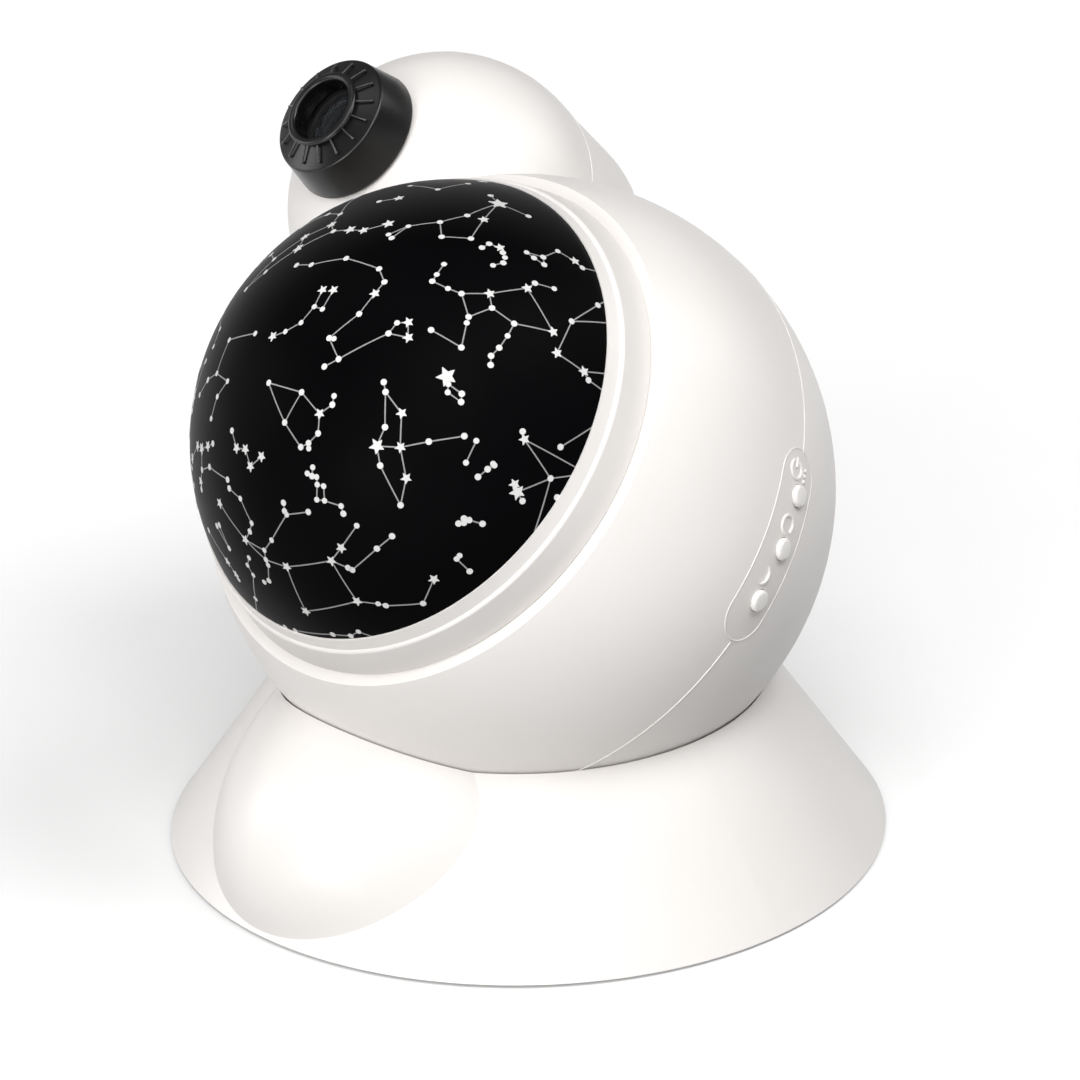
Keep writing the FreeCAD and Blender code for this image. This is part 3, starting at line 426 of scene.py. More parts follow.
# Star chart: right ascension in hours, declination in degrees and brightness of each star of a figure,
# then the chains of star numbers that its thin lines join
skyFigures = {
    "littleBear": ([(2.53, 89.3, 2.0), (17.54, 86.6, 4.4), (16.77, 82.0, 4.2), (15.73, 77.8, 4.3),
                    (16.29, 75.8, 5.0), (15.35, 71.8, 3.0), (14.85, 74.2, 2.1)],
                   [(0, 1, 2, 3, 6), (3, 4, 5)]),
    "dragon": ([(11.52, 69.3, 3.8), (12.56, 69.8, 3.9), (14.07, 64.4, 3.7), (15.42, 59.0, 3.3),
                (16.03, 58.6, 4.0), (16.40, 61.5, 2.7), (17.15, 65.7, 3.2), (18.35, 72.7, 3.6),
                (19.21, 67.7, 3.1), (19.80, 70.3, 3.8), (17.89, 56.9, 3.7), (17.94, 51.5, 2.2),
                (17.51, 52.3, 2.8), (17.54, 55.2, 4.9), (18.35, 71.3, 4.2)],
               [(0, 1, 2, 3, 4, 5, 6, 7, 8, 9), (8, 10, 11, 12, 13, 10)]),
    "cepheus": ([(23.66, 77.6, 3.2), (21.48, 70.6, 3.2), (21.31, 62.6, 2.5), (22.83, 66.2, 3.5),
                 (22.49, 58.4, 4.1), (22.18, 58.2, 3.4), (22.25, 57.0, 4.2), (21.73, 58.8, 4.1),
                 (20.75, 61.8, 3.4), (20.49, 63.0, 4.2)],
                [(0, 1, 2, 8, 9), (0, 3, 1), (3, 4, 5, 7, 2), (5, 6)]),
    "swan": ([(20.69, 45.3, 1.2), (20.37, 40.3, 2.2), (20.77, 34.0, 2.5), (19.75, 45.1, 2.9),
              (19.51, 28.0, 3.1), (19.94, 35.1, 3.9), (21.22, 30.2, 3.2), (19.29, 53.4, 3.8),
              (19.50, 51.7, 3.8), (20.23, 46.7, 3.8), (20.95, 41.2, 3.9)],
             [(7, 8, 3, 1, 2, 6), (8, 9, 0, 10, 6), (0, 1, 5, 4)]),
    "lyre": ([(18.62, 38.8, 0.0), (18.75, 37.6, 4.3), (18.91, 36.9, 4.3), (18.98, 32.7, 3.2),
              (18.83, 33.4, 3.5)],
             [(0, 1, 2, 3, 4, 1)]),
    "cassiopeia": ([(1.91, 63.7, 3.4), (1.43, 60.2, 2.7), (0.945, 60.7, 2.5), (0.675, 56.5, 2.2),
                    (0.153, 59.2, 2.3)],
                   [(0, 1, 2, 3, 4)]),
    "lizard": ([(22.39, 52.2, 4.4), (22.52, 50.3, 3.8), (22.62, 51.5, 4.6), (22.41, 49.5, 4.6),
                (22.49, 47.7, 4.4), (22.35, 46.5, 4.6), (22.68, 44.3, 4.5), (22.51, 43.1, 4.5),
                (22.22, 39.7, 4.2), (22.27, 37.7, 4.1)],
               [(0, 1, 3, 4, 6, 7, 5, 4), (7, 8, 9), (1, 2)]),
    "andromeda": ([(0.14, 29.1, 2.1), (0.655, 30.9, 3.3), (0.615, 33.7, 4.4), (1.16, 35.6, 2.1),
                   (0.946, 38.5, 3.9), (0.83, 41.1, 4.5), (1.158, 47.2, 4.3), (1.633, 48.6, 3.6),
                   (2.065, 42.3, 2.1), (0.642, 29.3, 4.3), (0.789, 24.3, 4.1), (0.953, 23.4, 4.4),
                   (0.305, 36.8, 4.5), (23.64, 43.3, 4.3), (23.67, 44.3, 4.1), (23.63, 46.5, 3.8),
                   (23.03, 42.3, 3.6)],
                  [(0, 1, 3, 8), (3, 4, 5, 6, 7), (3, 2, 12, 13, 14, 15), (13, 16), (1, 9, 10, 11),
                   (1, 2)]),
    "wingedHorse": ([(23.08, 15.2, 2.5), (23.06, 28.1, 2.4), (0.22, 15.2, 2.8), (22.72, 30.2, 2.9),
                     (22.17, 33.2, 4.3), (22.83, 24.6, 3.5), (22.78, 23.6, 4.0), (22.12, 25.3, 3.8),
                     (21.74, 25.6, 4.1), (22.69, 10.8, 3.4), (22.78, 12.2, 4.2), (22.17, 6.2, 3.5),
                     (21.74, 9.9, 2.4), (0.14, 29.1, 3.5)],
                    [(13, 1, 0, 2, 13), (1, 3, 4), (1, 5, 6, 7, 8), (0, 10, 9, 11, 12)]),
    "eagle": ([(19.77, 10.6, 2.7), (19.85, 8.9, 0.8), (19.92, 6.4, 3.7), (19.09, 13.9, 2.99),
               (18.99, 15.1, 4.0), (19.42, 3.1, 3.4), (19.61, -0.9, 3.9), (20.19, -0.8, 3.2),
               (19.10, -4.9, 3.4), (19.35, -5.0, 4.4)],
              [(0, 1, 2), (3, 5, 8, 3), (1, 5, 7, 6, 9), (3, 4)]),
    "serpentTail": ([(18.94, 4.4, 3.4), (18.36, -2.9, 3.3)], [(0, 1)]),
    "waterBearer": ([(22.05, 0.7, 3.2), (22.38, 1.9, 4.6), (22.45, 0.9, 4.4)], [(0, 1, 2)]),
    "arrow": ([(19.98, 19.5, 3.5), (19.79, 18.5, 3.8), (19.67, 18.0, 4.4), (19.68, 17.5, 4.4)],
              [(0, 1, 2), (1, 3)]),
    "fox": ([(19.48, 24.7, 4.4), (19.89, 24.1, 4.6)], [(0, 1)]),
    "dolphin": ([(20.66, 15.9, 3.8), (20.63, 14.6, 3.6), (20.78, 16.1, 3.9), (20.72, 15.1, 4.4),
                 (20.55, 11.3, 4.0)],
                [(4, 1, 0, 2, 3, 1)]),
    "foal": ([(21.26, 5.2, 3.9), (21.24, 10.0, 4.5), (21.17, 10.1, 4.7)], [(0, 1, 2)]),
    "hercules": ([(16.71, 38.9, 3.5), (16.69, 31.6, 2.8), (17.00, 30.9, 3.9), (17.25, 36.8, 3.2),
                  (17.39, 37.1, 4.2), (17.94, 37.3, 3.9), (17.66, 46.0, 3.8), (16.57, 42.4, 4.2),
                  (16.33, 46.3, 3.9), (16.15, 44.9, 4.2), (15.88, 42.5, 4.6), (16.50, 21.5, 2.8),
                  (16.37, 19.2, 3.8), (16.42, 14.0, 4.6), (17.25, 24.8, 3.1), (17.24, 14.4, 2.9),
                  (17.51, 26.1, 4.4), (17.77, 27.7, 3.4), (17.96, 29.3, 3.7), (18.13, 28.8, 3.8)],
                 [(10, 9, 8, 7, 0, 1, 2, 3, 0), (3, 4, 5, 6), (1, 11, 12, 13), (11, 15, 14, 2),
                  (14, 16, 17, 18, 19)]),
    "northernCrown": ([(15.55, 31.4, 4.1), (15.46, 29.1, 3.7), (15.58, 26.7, 2.2), (15.71, 26.3, 3.8),
                       (15.83, 26.1, 4.6), (15.96, 26.9, 4.1), (16.02, 29.8, 5.0)],
                      [(0, 1, 2, 3, 4, 5, 6)]),
    "serpentHead": ([(15.81, 18.1, 4.1), (15.77, 15.4, 3.7), (15.94, 15.7, 3.8), (15.69, 19.7, 4.5),
                     (15.58, 10.5, 4.2), (15.74, 6.4, 2.6), (15.85, 4.5, 3.7), (15.83, -3.4, 3.5)],
                    [(1, 3, 0, 2, 1, 4, 5, 6, 7)]),
    "herdsman": ([(14.26, 19.2, 0.0), (13.91, 18.4, 3.4), (14.69, 13.7, 3.8), (14.75, 27.1, 2.4),
                  (15.26, 33.3, 3.5), (15.03, 40.4, 3.5), (14.53, 38.3, 3.1), (14.53, 30.4, 3.6),
                  (14.27, 46.1, 4.2), (14.42, 51.9, 4.0), (14.22, 51.8, 4.5)],
                 [(1, 0, 2), (0, 3, 4, 5, 6, 7, 0), (6, 8, 9), (8, 10)]),
    "huntingDogs": ([(12.93, 38.3, 2.95), (12.56, 41.4, 4.3)], [(0, 1)]),
    "bereniceHair": ([(13.17, 17.5, 4.3), (13.20, 27.9, 4.3), (12.45, 28.3, 4.4)], [(0, 1, 2)]),
    "greatBear": ([(11.06, 61.8, 1.8), (11.03, 56.4, 2.4), (11.90, 53.7, 2.6), (12.26, 57.0, 3.3),
                   (12.90, 56.0, 1.8), (13.40, 54.9, 2.2), (13.79, 49.3, 1.5), (9.53, 63.1, 3.7),
                   (8.50, 60.7, 3.4), (9.85, 59.0, 3.8), (9.55, 51.7, 3.2), (9.06, 47.2, 3.6),
                   (8.99, 48.0, 3.1), (11.77, 47.8, 3.7), (11.16, 44.5, 3.1), (10.28, 42.9, 3.4),
                   (10.37, 41.5, 3.1), (11.31, 33.1, 3.5), (11.30, 31.5, 3.8)],
                  [(6, 5, 4, 3, 0, 7, 8, 9, 1, 2, 3), (9, 10, 11), (10, 12), (2, 13, 14, 15), (14, 16),
                   (13, 17, 18), (0, 1)]),
    "giraffe": ([(6.55, 82.5, 4.5), (6.31, 70.3, 4.6), (4.90, 66.3, 4.3), (5.06, 60.4, 4.0),
                 (4.95, 53.8, 4.5), (3.84, 71.3, 4.6), (3.82, 65.5, 4.5), (3.48, 59.9, 4.2)],
                [(0, 1, 2, 3, 4), (2, 5, 6, 7)]),
    "perseus": ([(3.41, 49.9, 1.8), (3.14, 41.0, 2.1), (3.08, 53.5, 2.9), (3.72, 47.8, 3.0),
                 (3.96, 40.0, 2.9), (3.90, 31.9, 2.9), (3.74, 32.3, 3.8), (3.98, 35.8, 4.0),
                 (2.84, 55.9, 3.8), (3.16, 44.9, 3.8), (3.09, 38.8, 3.4), (1.73, 50.7, 4.1),
                 (2.74, 49.2, 4.1)],
                [(8, 2, 0, 3, 4, 7, 5, 6), (0, 9, 1, 10), (9, 12, 11)]),
    "charioteer": ([(5.28, 46.0, 0.3), (5.99, 44.9, 1.9), (5.995, 37.2, 2.6), (4.95, 33.2, 2.7),
                    (5.11, 41.2, 3.2), (5.03, 43.8, 3.1), (5.99, 54.3, 3.7), (5.44, 28.6, 1.7)],
                   [(0, 1, 2, 7, 3, 4, 5, 0), (0, 6, 1)]),
    "twins": ([(7.58, 31.9, 1.6), (7.76, 28.0, 1.2), (6.63, 16.4, 1.9), (7.34, 22.0, 3.5),
               (6.73, 25.1, 2.99), (7.07, 20.6, 3.8), (6.25, 22.5, 3.3), (6.38, 22.5, 2.9),
               (7.30, 16.5, 3.6), (7.74, 24.4, 3.6), (7.60, 26.9, 4.1), (7.19, 30.2, 4.4),
               (6.88, 34.0, 3.6), (7.43, 27.8, 3.8), (6.48, 20.2, 4.1)],
              [(12, 11, 0), (11, 4, 7, 6), (4, 14), (1, 10, 3, 5, 2), (3, 8), (10, 13, 11), (10, 9)]),
    "bull": ([(4.60, 16.5, 0.9), (5.63, 21.1, 3.0), (4.48, 19.2, 3.5), (4.38, 17.5, 3.8),
              (4.33, 15.6, 3.7), (4.01, 12.5, 3.5), (3.79, 24.1, 2.9), (5.44, 28.6, 3.5)],
             [(7, 2, 3, 4, 0, 1), (4, 5), (3, 6)]),
    "ram": ([(2.12, 23.5, 2.0), (1.91, 20.8, 2.6), (1.89, 19.3, 3.9), (2.83, 27.3, 3.6)], [(3, 0, 1, 2)]),
    "triangle": ([(1.88, 29.6, 3.4), (2.16, 35.0, 3.1), (2.29, 33.8, 4.0)], [(0, 1, 2, 0)]),
    "fishes": ([(1.52, 15.3, 3.6), (1.76, 9.2, 4.3), (1.23, 24.6, 4.7), (1.19, 30.1, 4.5),
                (1.32, 27.3, 4.8), (1.05, 7.9, 4.3), (0.81, 7.6, 4.4), (23.99, 6.9, 4.0),
                (23.67, 5.6, 4.1), (23.47, 6.4, 4.3), (23.29, 3.3, 3.7), (23.45, 1.3, 4.9),
                (23.70, 1.8, 4.5), (2.03, 2.8, 3.8)],
               [(3, 4, 2, 0, 1, 13, 5, 6, 7, 8, 9, 10, 11, 12, 8)]),
    "lion": ([(10.14, 12.0, 1.3), (10.12, 16.8, 3.5), (10.33, 19.8, 2.2), (10.28, 23.4, 3.4),
              (9.88, 26.0, 3.9), (9.76, 23.8, 3.1), (11.24, 20.5, 2.6), (11.24, 15.4, 3.3),
              (11.82, 14.6, 2.1)],
             [(5, 4, 3, 2, 1, 0, 7, 8, 6, 2), (6, 7)]),
    "littleLion": ([(10.89, 34.2, 3.8), (10.46, 36.7, 4.2), (10.12, 35.2, 4.5)], [(0, 1, 2)]),
    "crab": ([(8.78, 28.8, 4.0), (8.72, 21.5, 4.7), (8.74, 18.2, 3.9), (8.97, 11.9, 4.3),
              (8.28, 9.2, 3.5)],
             [(0, 1, 2, 3), (2, 4)]),
    "lynx": ([(9.35, 34.4, 3.1), (9.31, 36.8, 3.8), (8.38, 43.2, 4.3), (7.45, 49.2, 4.6),
              (6.95, 58.4, 4.4), (6.33, 59.0, 4.4)],
             [(0, 1, 2, 3, 4, 5)]),
    "littleDog": ([(7.66, 5.2, 0.4), (7.45, 8.3, 2.9)], [(0, 1)]),
    "serpentBearer": ([(17.58, 12.6, 2.1), (16.96, 9.4, 3.2), (17.72, 4.6, 2.8), (17.82, 2.8, 4.0),
                       (16.52, 1.7, 3.8), (16.24, -3.7, 3.2), (16.62, -10.6, 3.2), (17.37, -15.7, 3.2),
                       (17.98, -9.8, 3.4)],
                      [(1, 0, 2, 3, 8), (1, 4, 5), (1, 6), (2, 7)]),
    "maiden": ([(13.04, 11.0, 2.8), (12.93, 3.4, 3.4), (11.84, 1.8, 3.6), (13.58, -0.6, 3.4)],
               [(0, 1, 3), (1, 2)]),
    "hunter": ([(5.59, 9.9, 3.5), (5.92, 7.4, 0.5), (5.42, 6.3, 1.6)], [(0, 1, 2, 0)]),
}
chart = {"poleLean": 6.79, "poleSide": -79.59, "roll": 279.11, "spread": (0.916, -0.1189, 0.0439),
         "edge": 70.3, "lineEdge": 69.3, "starProud": 0.07, "lineProud": 0.045, "depth": 0.1,
         "lineWidth": 0.34, "starTurn": -34.4, "starWaist": 0.47, "starTip": 0.08,
         "starSizes": ((0.6, 2.8), (1.4, 2.2), (2.0, 1.85), (3.05, 1.58)),
         "dot": 0.84, "faintDot": 0.76, "faintFrom": 4.2}
skyTurn = Matrix.Rotation(radians(chart["poleSide"]), 3, "Z")
skyTurn = skyTurn @ Matrix.Rotation(radians(chart["poleLean"]), 3, "X")
skyTurn = skyTurn @ Matrix.Rotation(radians(chart["roll"]), 3, "Z")


def skyToDome(hours, declination):
    away = radians(90 - declination)
    lean = sum(part * away ** (power + 1) for power, part in enumerate(chart["spread"]))
    turn = radians(hours * 15)
    return skyTurn @ Vector((sin(lean) * sin(turn), sin(lean) * cos(turn), cos(lean)))


def fromApex(spot):
    return degrees(acos(min(1, spot.z)))


# Lays a copy of a mark on the plane that touches the dome at this spot
def layOnDome(mark, spot, heading, halfLength, halfWidth):
    along = (heading - spot * heading.dot(spot)).normalized()
    centre = spot * dome["radius"] + Vector((0, 0, domeCentre))
    size = Matrix.Diagonal((halfLength, halfWidth, 1, 1))
    return copyOf(mark, aim(centre, spot, along) @ size)


dotMark = addNew(bpy.ops.mesh.primitive_circle_add, "dotMark", vertices=12, radius=mm, fill_type="NGON")
bpy.ops.object.mode_set(mode="EDIT")
bpy.ops.mesh.poke()
bpy.ops.object.mode_set(mode="OBJECT")
lineMark = addNew(bpy.ops.mesh.primitive_grid_add, "lineMark", x_subdivisions=8, y_subdivisions=1,
                  size=2 * mm)
starMark = addNew(bpy.ops.mesh.primitive_circle_add, "starMark", vertices=10, radius=mm,
                  fill_type="NOTHING")
pick(starMark, lambda spot: round((degrees(atan2(spot.y, spot.x)) - 90) / 36) % 2 == 1)
bpy.ops.transform.resize(value=(chart["starWaist"], chart["starWaist"], 1))
bpy.ops.mesh.select_all(action="INVERT")
bpy.ops.mesh.bevel(offset=chart["starTip"] * mm, affect="VERTICES", segments=1)
bpy.ops.mesh.select_all(action="SELECT")
bpy.ops.mesh.edge_face_add()
bpy.ops.mesh.poke()
bpy.ops.object.mode_set(mode="OBJECT")

starMarks, lineMarks = [], []
for stars, chains in skyFigures.values():
    spots = [skyToDome(hours, declination) for hours, declination, bright in stars]
    for spot, (hours, declination, bright) in zip(spots, stars):
        sizes = [radius for limit, radius in chart["starSizes"] if bright < limit]
        if fromApex(spot) + 0.8 * (sizes or [chart["dot"]])[0] > chart["edge"]:
            continue
        if sizes:
            size = sizes[0]
            lean, turn = acos(min(1, spot.z)), atan2(spot.x, spot.y)
            outward = Vector((cos(lean) * sin(turn), cos(lean) * cos(turn), -sin(lean)))
            sideways = Vector((cos(turn), -sin(turn), 0))
            up = radians(chart["starTurn"]) - turn
            starMarks.append(layOnDome(starMark, spot, outward * cos(up) + sideways * sin(up), size, size))
        else:
            size = chart["dot"] if bright < chart["faintFrom"] else chart["faintDot"]
            starMarks.append(layOnDome(dotMark, spot, Vector((1, 0.3, 0)), size, size))
    for chain in chains:
        for first, last in zip(chain, chain[1:]):
            start, end = spots[first], spots[last]
            if fromApex(start) > fromApex(end):
                start, end = end, start
            if fromApex(start) > chart["lineEdge"]:
                continue
            while fromApex(end) > chart["edge"]:  # a line that runs off the dome ends at its rim
                end = (start * 0.015 + end * 0.985).normalized()
            half = (end - start).length / 2
            reach = dome["radius"] * half / sqrt(1 - half * half)
            middle = (start + end).normalized()
            lineMarks.append(layOnDome(lineMark, middle, end - start, reach, chart["lineWidth"] / 2))
for mark in (dotMark, lineMark, starMark):
    bpy.data.objects.remove(mark)
starInk = mouldedPlastic("starInk", (0.7, 0.7, 0.69), (0.63, 0.63, 0.62), 0.5, 0.1, 1500, 0.00001)
lineInk = mouldedPlastic("lineInk", (0.3, 0.3, 0.295), (0.25, 0.25, 0.245), 0.5, 0.1, 1500, 0.00001)
counts = (len(starMarks), len(lineMarks))
for name, marks, ink, proud in (("starPrint", starMarks, starInk, chart["starProud"]),
                                ("linePrint", lineMarks, lineInk, chart["lineProud"])):
    printPiece = joined(name, marks)
    useModifier(printPiece, "SHRINKWRAP", target=starDome, wrap_method="NEAREST_SURFACEPOINT",
                wrap_mode="ABOVE_SURFACE", offset=proud * mm)
    useModifier(printPiece, "SOLIDIFY", thickness=chart["depth"] * mm, offset=-1)
    settle(printPiece, ballPlace, ink, "dome", 25)
settle(starDome, ballPlace, finishes["dome_black"], "dome", 40, ("star_dome",))
print("star chart printed:", counts[0], "stars,", counts[1], "lines")

# Ring that carries the dome
ring = {"bore": 64.0, "outer": 70.2, "taper": 2.6, "front": 53.3, "frontRound": 4.0, "back": 41.2,
        "neck": 66.0, "neckEnd": 34.0, "neckBore": 61.5, "edge": 0.35, "steps": 144, "roundSteps": 7}
outline = softened([(ring["bore"], ring["front"], 0.2),
                    (ring["outer"], ring["front"], ring["frontRound"]),
                    (ring["outer"] - ring["taper"], ring["back"], ring["edge"]),
                    (ring["neck"], ring["back"], 0),
                    (ring["neck"], ring["neckEnd"], ring["edge"]),
                    (ring["neckBore"], ring["neckEnd"], ring["edge"]),
                    (ring["neckBore"], skirtEnd, 0),
                    (ring["bore"], skirtEnd, 0)], ring["roundSteps"])
domeRing = turnOutline("domeRing", outline, ring["steps"])
settle(domeRing, ballPlace, finishes["white_plastic"], "dome", 40, ("dome_ring",))
print("dome ring turned")

# Focus knob: cone with a sloping ribbed face, a rounded lip and a snap groove inside
knob = {"back": 39.6, "backRadius": 18.4, "front": 51.3, "frontRadius": 17.5, "edgeRound": 1.5,
        "lip": 54.4, "lipRadius": 10.35, "hole": 9.5, "floor": 49.4, "bore": 14.08, "beadLow": 43.4,
        "beadHigh": 44.6, "bead": 13.48, "steps": 96, "roundSteps": 6, "ribs": 16, "ribStart": 10.9,
        "ribEnd": 15.0, "ribRadius": 0.3, "ribRise": 0.04, "ribTurn": 1.6, "dotRadius": 0.44,
        "dotSunk": 0.1, "dotFlat": 0.8}
face = {"top": (10.6, 53.9), "edge": (knob["frontRadius"], knob["front"])}
outline = softened([(knob["bore"], knob["back"], 0.2), (knob["backRadius"], knob["back"], 0.5),
                    (*face["edge"], knob["edgeRound"]), (*face["top"], 0.25),
                    (knob["lipRadius"], knob["lip"], 0.3),
                    (knob["hole"], knob["lip"], 0.35), (knob["hole"], knob["floor"], 0.3),
                    (knob["bore"], knob["floor"], 0), (knob["bore"], knob["beadHigh"], 0),
                    (knob["bead"], knob["beadHigh"], 0), (knob["bead"], knob["beadLow"], 0),
                    (knob["bore"], knob["beadLow"], 0)], knob["roundSteps"])
focusKnob = turnOutline("focusKnob", outline, knob["steps"])
slope = atan2(face["top"][1] - face["edge"][1], face["edge"][0] - face["top"][0])


def onFace(radius):
    return face["top"][1] - (radius - face["top"][0]) * tan(slope)


ribLength = (knob["ribEnd"] - knob["ribStart"]) / cos(slope)
rib = addNew(bpy.ops.mesh.primitive_uv_sphere_add, "rib", segments=12, ring_count=8,
             radius=knob["ribRadius"] * mm, rotation=(0, pi / 2, 0))
bpy.ops.object.transform_apply(rotation=True)
pick(rib, lambda spot: spot.x > 0.01)
bpy.ops.transform.translate(value=(ribLength * mm, 0, 0))
bpy.ops.object.mode_set(mode="OBJECT")
ribDot = addNew(bpy.ops.mesh.primitive_uv_sphere_add, "ribDot", segments=14, ring_count=8,
                radius=knob["dotRadius"] * mm, location=(ribLength * mm, 0, -knob["dotSunk"] * mm))
pick(ribDot, lambda spot: spot.z > 0)
bpy.ops.transform.resize(value=(1, 1, knob["dotFlat"]), center_override=(ribLength * mm, 0, 0))
bpy.ops.object.mode_set(mode="OBJECT")
rib = joined("rib", [rib, ribDot])
ribs = []
ribHeight = onFace(knob["ribStart"]) + knob["ribRise"]
for index in range(knob["ribs"]):
    around = Matrix.Rotation(radians(knob["ribTurn"] + index * 360 / knob["ribs"]), 4, "Z")
    start = Matrix.Translation((knob["ribStart"] * mm, 0, ribHeight * mm))
    ribs.append(copyOf(rib, around @ start @ Matrix.Rotation(slope, 4, "Y")))
bpy.data.objects.remove(rib)
knobRibs = joined("knobRibs", ribs)
# The ribs are coloured lighter than the knob: a painted highlight along them; their lower roughness is real
# gloss
ribHighlightFinish = mouldedPlastic("knobRibPaintedHighlight", (0.03, 0.03, 0.03), (0.02, 0.02, 0.02), 0.28, 0.08, 1400, 0.00001)
settle(knobRibs, headPlace, ribHighlightFinish, "knob", 40)
settle(focusKnob, headPlace, finishes["knob_black"], "knob", 32, ("focus_knob",))
print("focus knob turned with", len(ribs), "ribs")

# Three buttons with rounded caps; the outer two lean with the ball's surface
button = {"pitch": 14.5, "shift": -1.2, "radius": 2.9, "rise": 1.4, "edgeRound": 0.95, "crown": 0.12,
          "bottom": 74.5, "flange": 1.0, "flangeDepth": 1.0, "steps": 40, "roundSteps": 6}
for step, node in ((1, "light_button"), (0, "rotate_button"), (-1, "sleep_button")):
    x = step * button["pitch"]
    surface = sqrt(ball["radius"] ** 2 - x ** 2 - button["shift"] ** 2)
    top = surface + button["rise"]
    wide = button["radius"] + button["flange"]
    flangeTop = button["bottom"] + button["flangeDepth"]
    outline = softened([(0, button["bottom"], 0), (wide, button["bottom"], 0.2), (wide, flangeTop, 0.2),
                        (button["radius"], flangeTop, 0), (button["radius"], surface, 0),
                        (button["radius"], top - button["crown"], button["edgeRound"]), (0, top, 0)],
                       button["roundSteps"])
    cap = turnOutline(node.replace("_b", "B"), outline, button["steps"])
    pick(cap, lambda spot: spot.z > surface + 0.1)
    bpy.ops.transform.rotate(value=-asin(x / ball["radius"]), orient_axis="Y", orient_type="GLOBAL",
                             center_override=(0, 0, surface * mm))
    bpy.ops.object.mode_set(mode="OBJECT")
    spot = Matrix.Translation((x * mm, button["shift"] * mm, 0))
    settle(cap, panelPlace @ spot, finishes["button_plastic"], node, 40, (node,))
print("buttons made")

# Fine bead along the parting line of the ball and of the head
bead = {"radius": 0.26, "sunk": 0.07, "steps": 220, "headSpan": 122.6, "ballFrom": -24.8, "ballTo": 284.8,
        "panelFrom": 62.6, "panelTo": 99.6}


def seamCircle(name, radius, centre, keep):
    loop = addNew(bpy.ops.mesh.primitive_circle_add, name, vertices=bead["steps"], radius=radius * mm,
                  fill_type="NOTHING")
    pick(loop, lambda spot: not keep(degrees(atan2(spot.x, spot.y))))
    bpy.ops.mesh.delete(type="VERT")
    bpy.ops.object.mode_set(mode="OBJECT")
    run = beadAlong(loop, bead["radius"])
    run.data.transform(Matrix.Translation(Vector((*centre.xy, ball["seam"])) * mm))
    return run


def onBallSeam(angle):
    angle = angle if angle > bead["ballFrom"] else angle + 360
    return angle < bead["ballTo"] and not bead["panelFrom"] < angle < bead["panelTo"]


def onHeadSeam(angle):
    return abs((angle - head["bearing"] + 180) % 360 - 180) < bead["headSpan"]


ballSeam = sqrt(ball["radius"] ** 2 - ball["seam"] ** 2) - bead["sunk"]
headSeam = sqrt(head["radius"] ** 2 - ball["seam"] ** 2) - bead["sunk"]
seamBead = joined("seamBead", [seamCircle("ballSeam", ballSeam, Vector((0, 0, 0)), onBallSeam),
                               seamCircle("headSeam", headSeam, headCentre, onHeadSeam)])
settle(seamBead, ballPlace, finishes["white_plastic"], "ball", 60)

# Bead round the control panel: a circle stretched to a long loop and pressed on the ball's surface
panelLoop = addNew(bpy.ops.mesh.primitive_circle_add, "panelBead", vertices=64, fill_type="NOTHING",
                   radius=panel["halfWidth"] * mm, location=(0, 0, ball["radius"] * mm))
bpy.ops.object.transform_apply(location=True)
straight = (panel["halfLength"] - panel["halfWidth"]) * mm
for side in (1, -1):
    pick(panelLoop, lambda spot: spot.x * side > 0.01)
    bpy.ops.transform.translate(value=(side * straight, 0, 0))
    bpy.ops.object.mode_set(mode="OBJECT")
selectOnly(panelLoop)
bpy.ops.object.mode_set(mode="EDIT")
bpy.ops.mesh.select_all(action="SELECT")
bpy.ops.mesh.subdivide(number_cuts=6)
bpy.ops.object.mode_set(mode="OBJECT")
guide = addNew(bpy.ops.mesh.primitive_uv_sphere_add, "guide", segments=256, ring_count=160,
               radius=(ball["radius"] - panel["beadSunk"]) * mm)
useModifier(panelLoop, "SHRINKWRAP", target=guide, wrap_method="PROJECT", use_project_z=True,
            use_negative_direction=True, use_positive_direction=False)
bpy.data.objects.remove(guide)
panelBead = beadAlong(panelLoop, panel["bead"])
settle(panelBead, panelPlace, finishes["white_plastic"], "ball", 60)
print("beads laid")

# Raised signs above the buttons: lamp switch with timer dots, turning arrow and moon
sign = {"places": ((20.6, 1.7), (6.1, 0.2), (-8.5, 1.2)), "radius": 2.5, "stroke": 0.46, "sunk": 0.02,
        "lampGap": 24.0, "lampBar": ((3.1, 0), (0.4, 0)), "dots": ((1.2, -4.4), (-0.3, -4.4), (-1.8, -4.4)),
        "dotRadius": 0.55, "dotFlat": 0.85, "turnGap": (-178, -128), "arrow": (-2.4, -0.5, 0.05),
        "arrowSize": 1.1, "arrowDepth": 0.7, "arrowTurn": -70, "arrowRound": 0.16, "moonRadius": 2.6,
        "moonHeight": 0.3, "moonBite": 1.5, "biteRadius": 2.55}


# Arc of a circle about the sign's centre; the angles run from the panel's long axis
def signArc(name, keep):
    loop = addNew(bpy.ops.mesh.primitive_circle_add, name, vertices=48, radius=sign["radius"] * mm,
                  fill_type="NOTHING")
    pick(loop, lambda spot: not keep(degrees(atan2(spot.y, spot.x))))
    bpy.ops.mesh.delete(type="VERT")
    bpy.ops.object.mode_set(mode="OBJECT")
    return beadAlong(loop, sign["stroke"])


def signBar(start, end):
    bar = addNew(bpy.ops.mesh.primitive_plane_add, "signBar", size=mm)
    bpy.ops.object.mode_set(mode="EDIT")
    bpy.ops.mesh.merge(type="CENTER")
    bpy.ops.transform.translate(value=(start[0] * mm, start[1] * mm, 0))
    bpy.ops.mesh.extrude_vertices_move(
        TRANSFORM_OT_translate={"value": ((end[0] - start[0]) * mm, (end[1] - start[1]) * mm, 0)})
    bpy.ops.object.mode_set(mode="OBJECT")
    return beadAlong(bar, sign["stroke"])


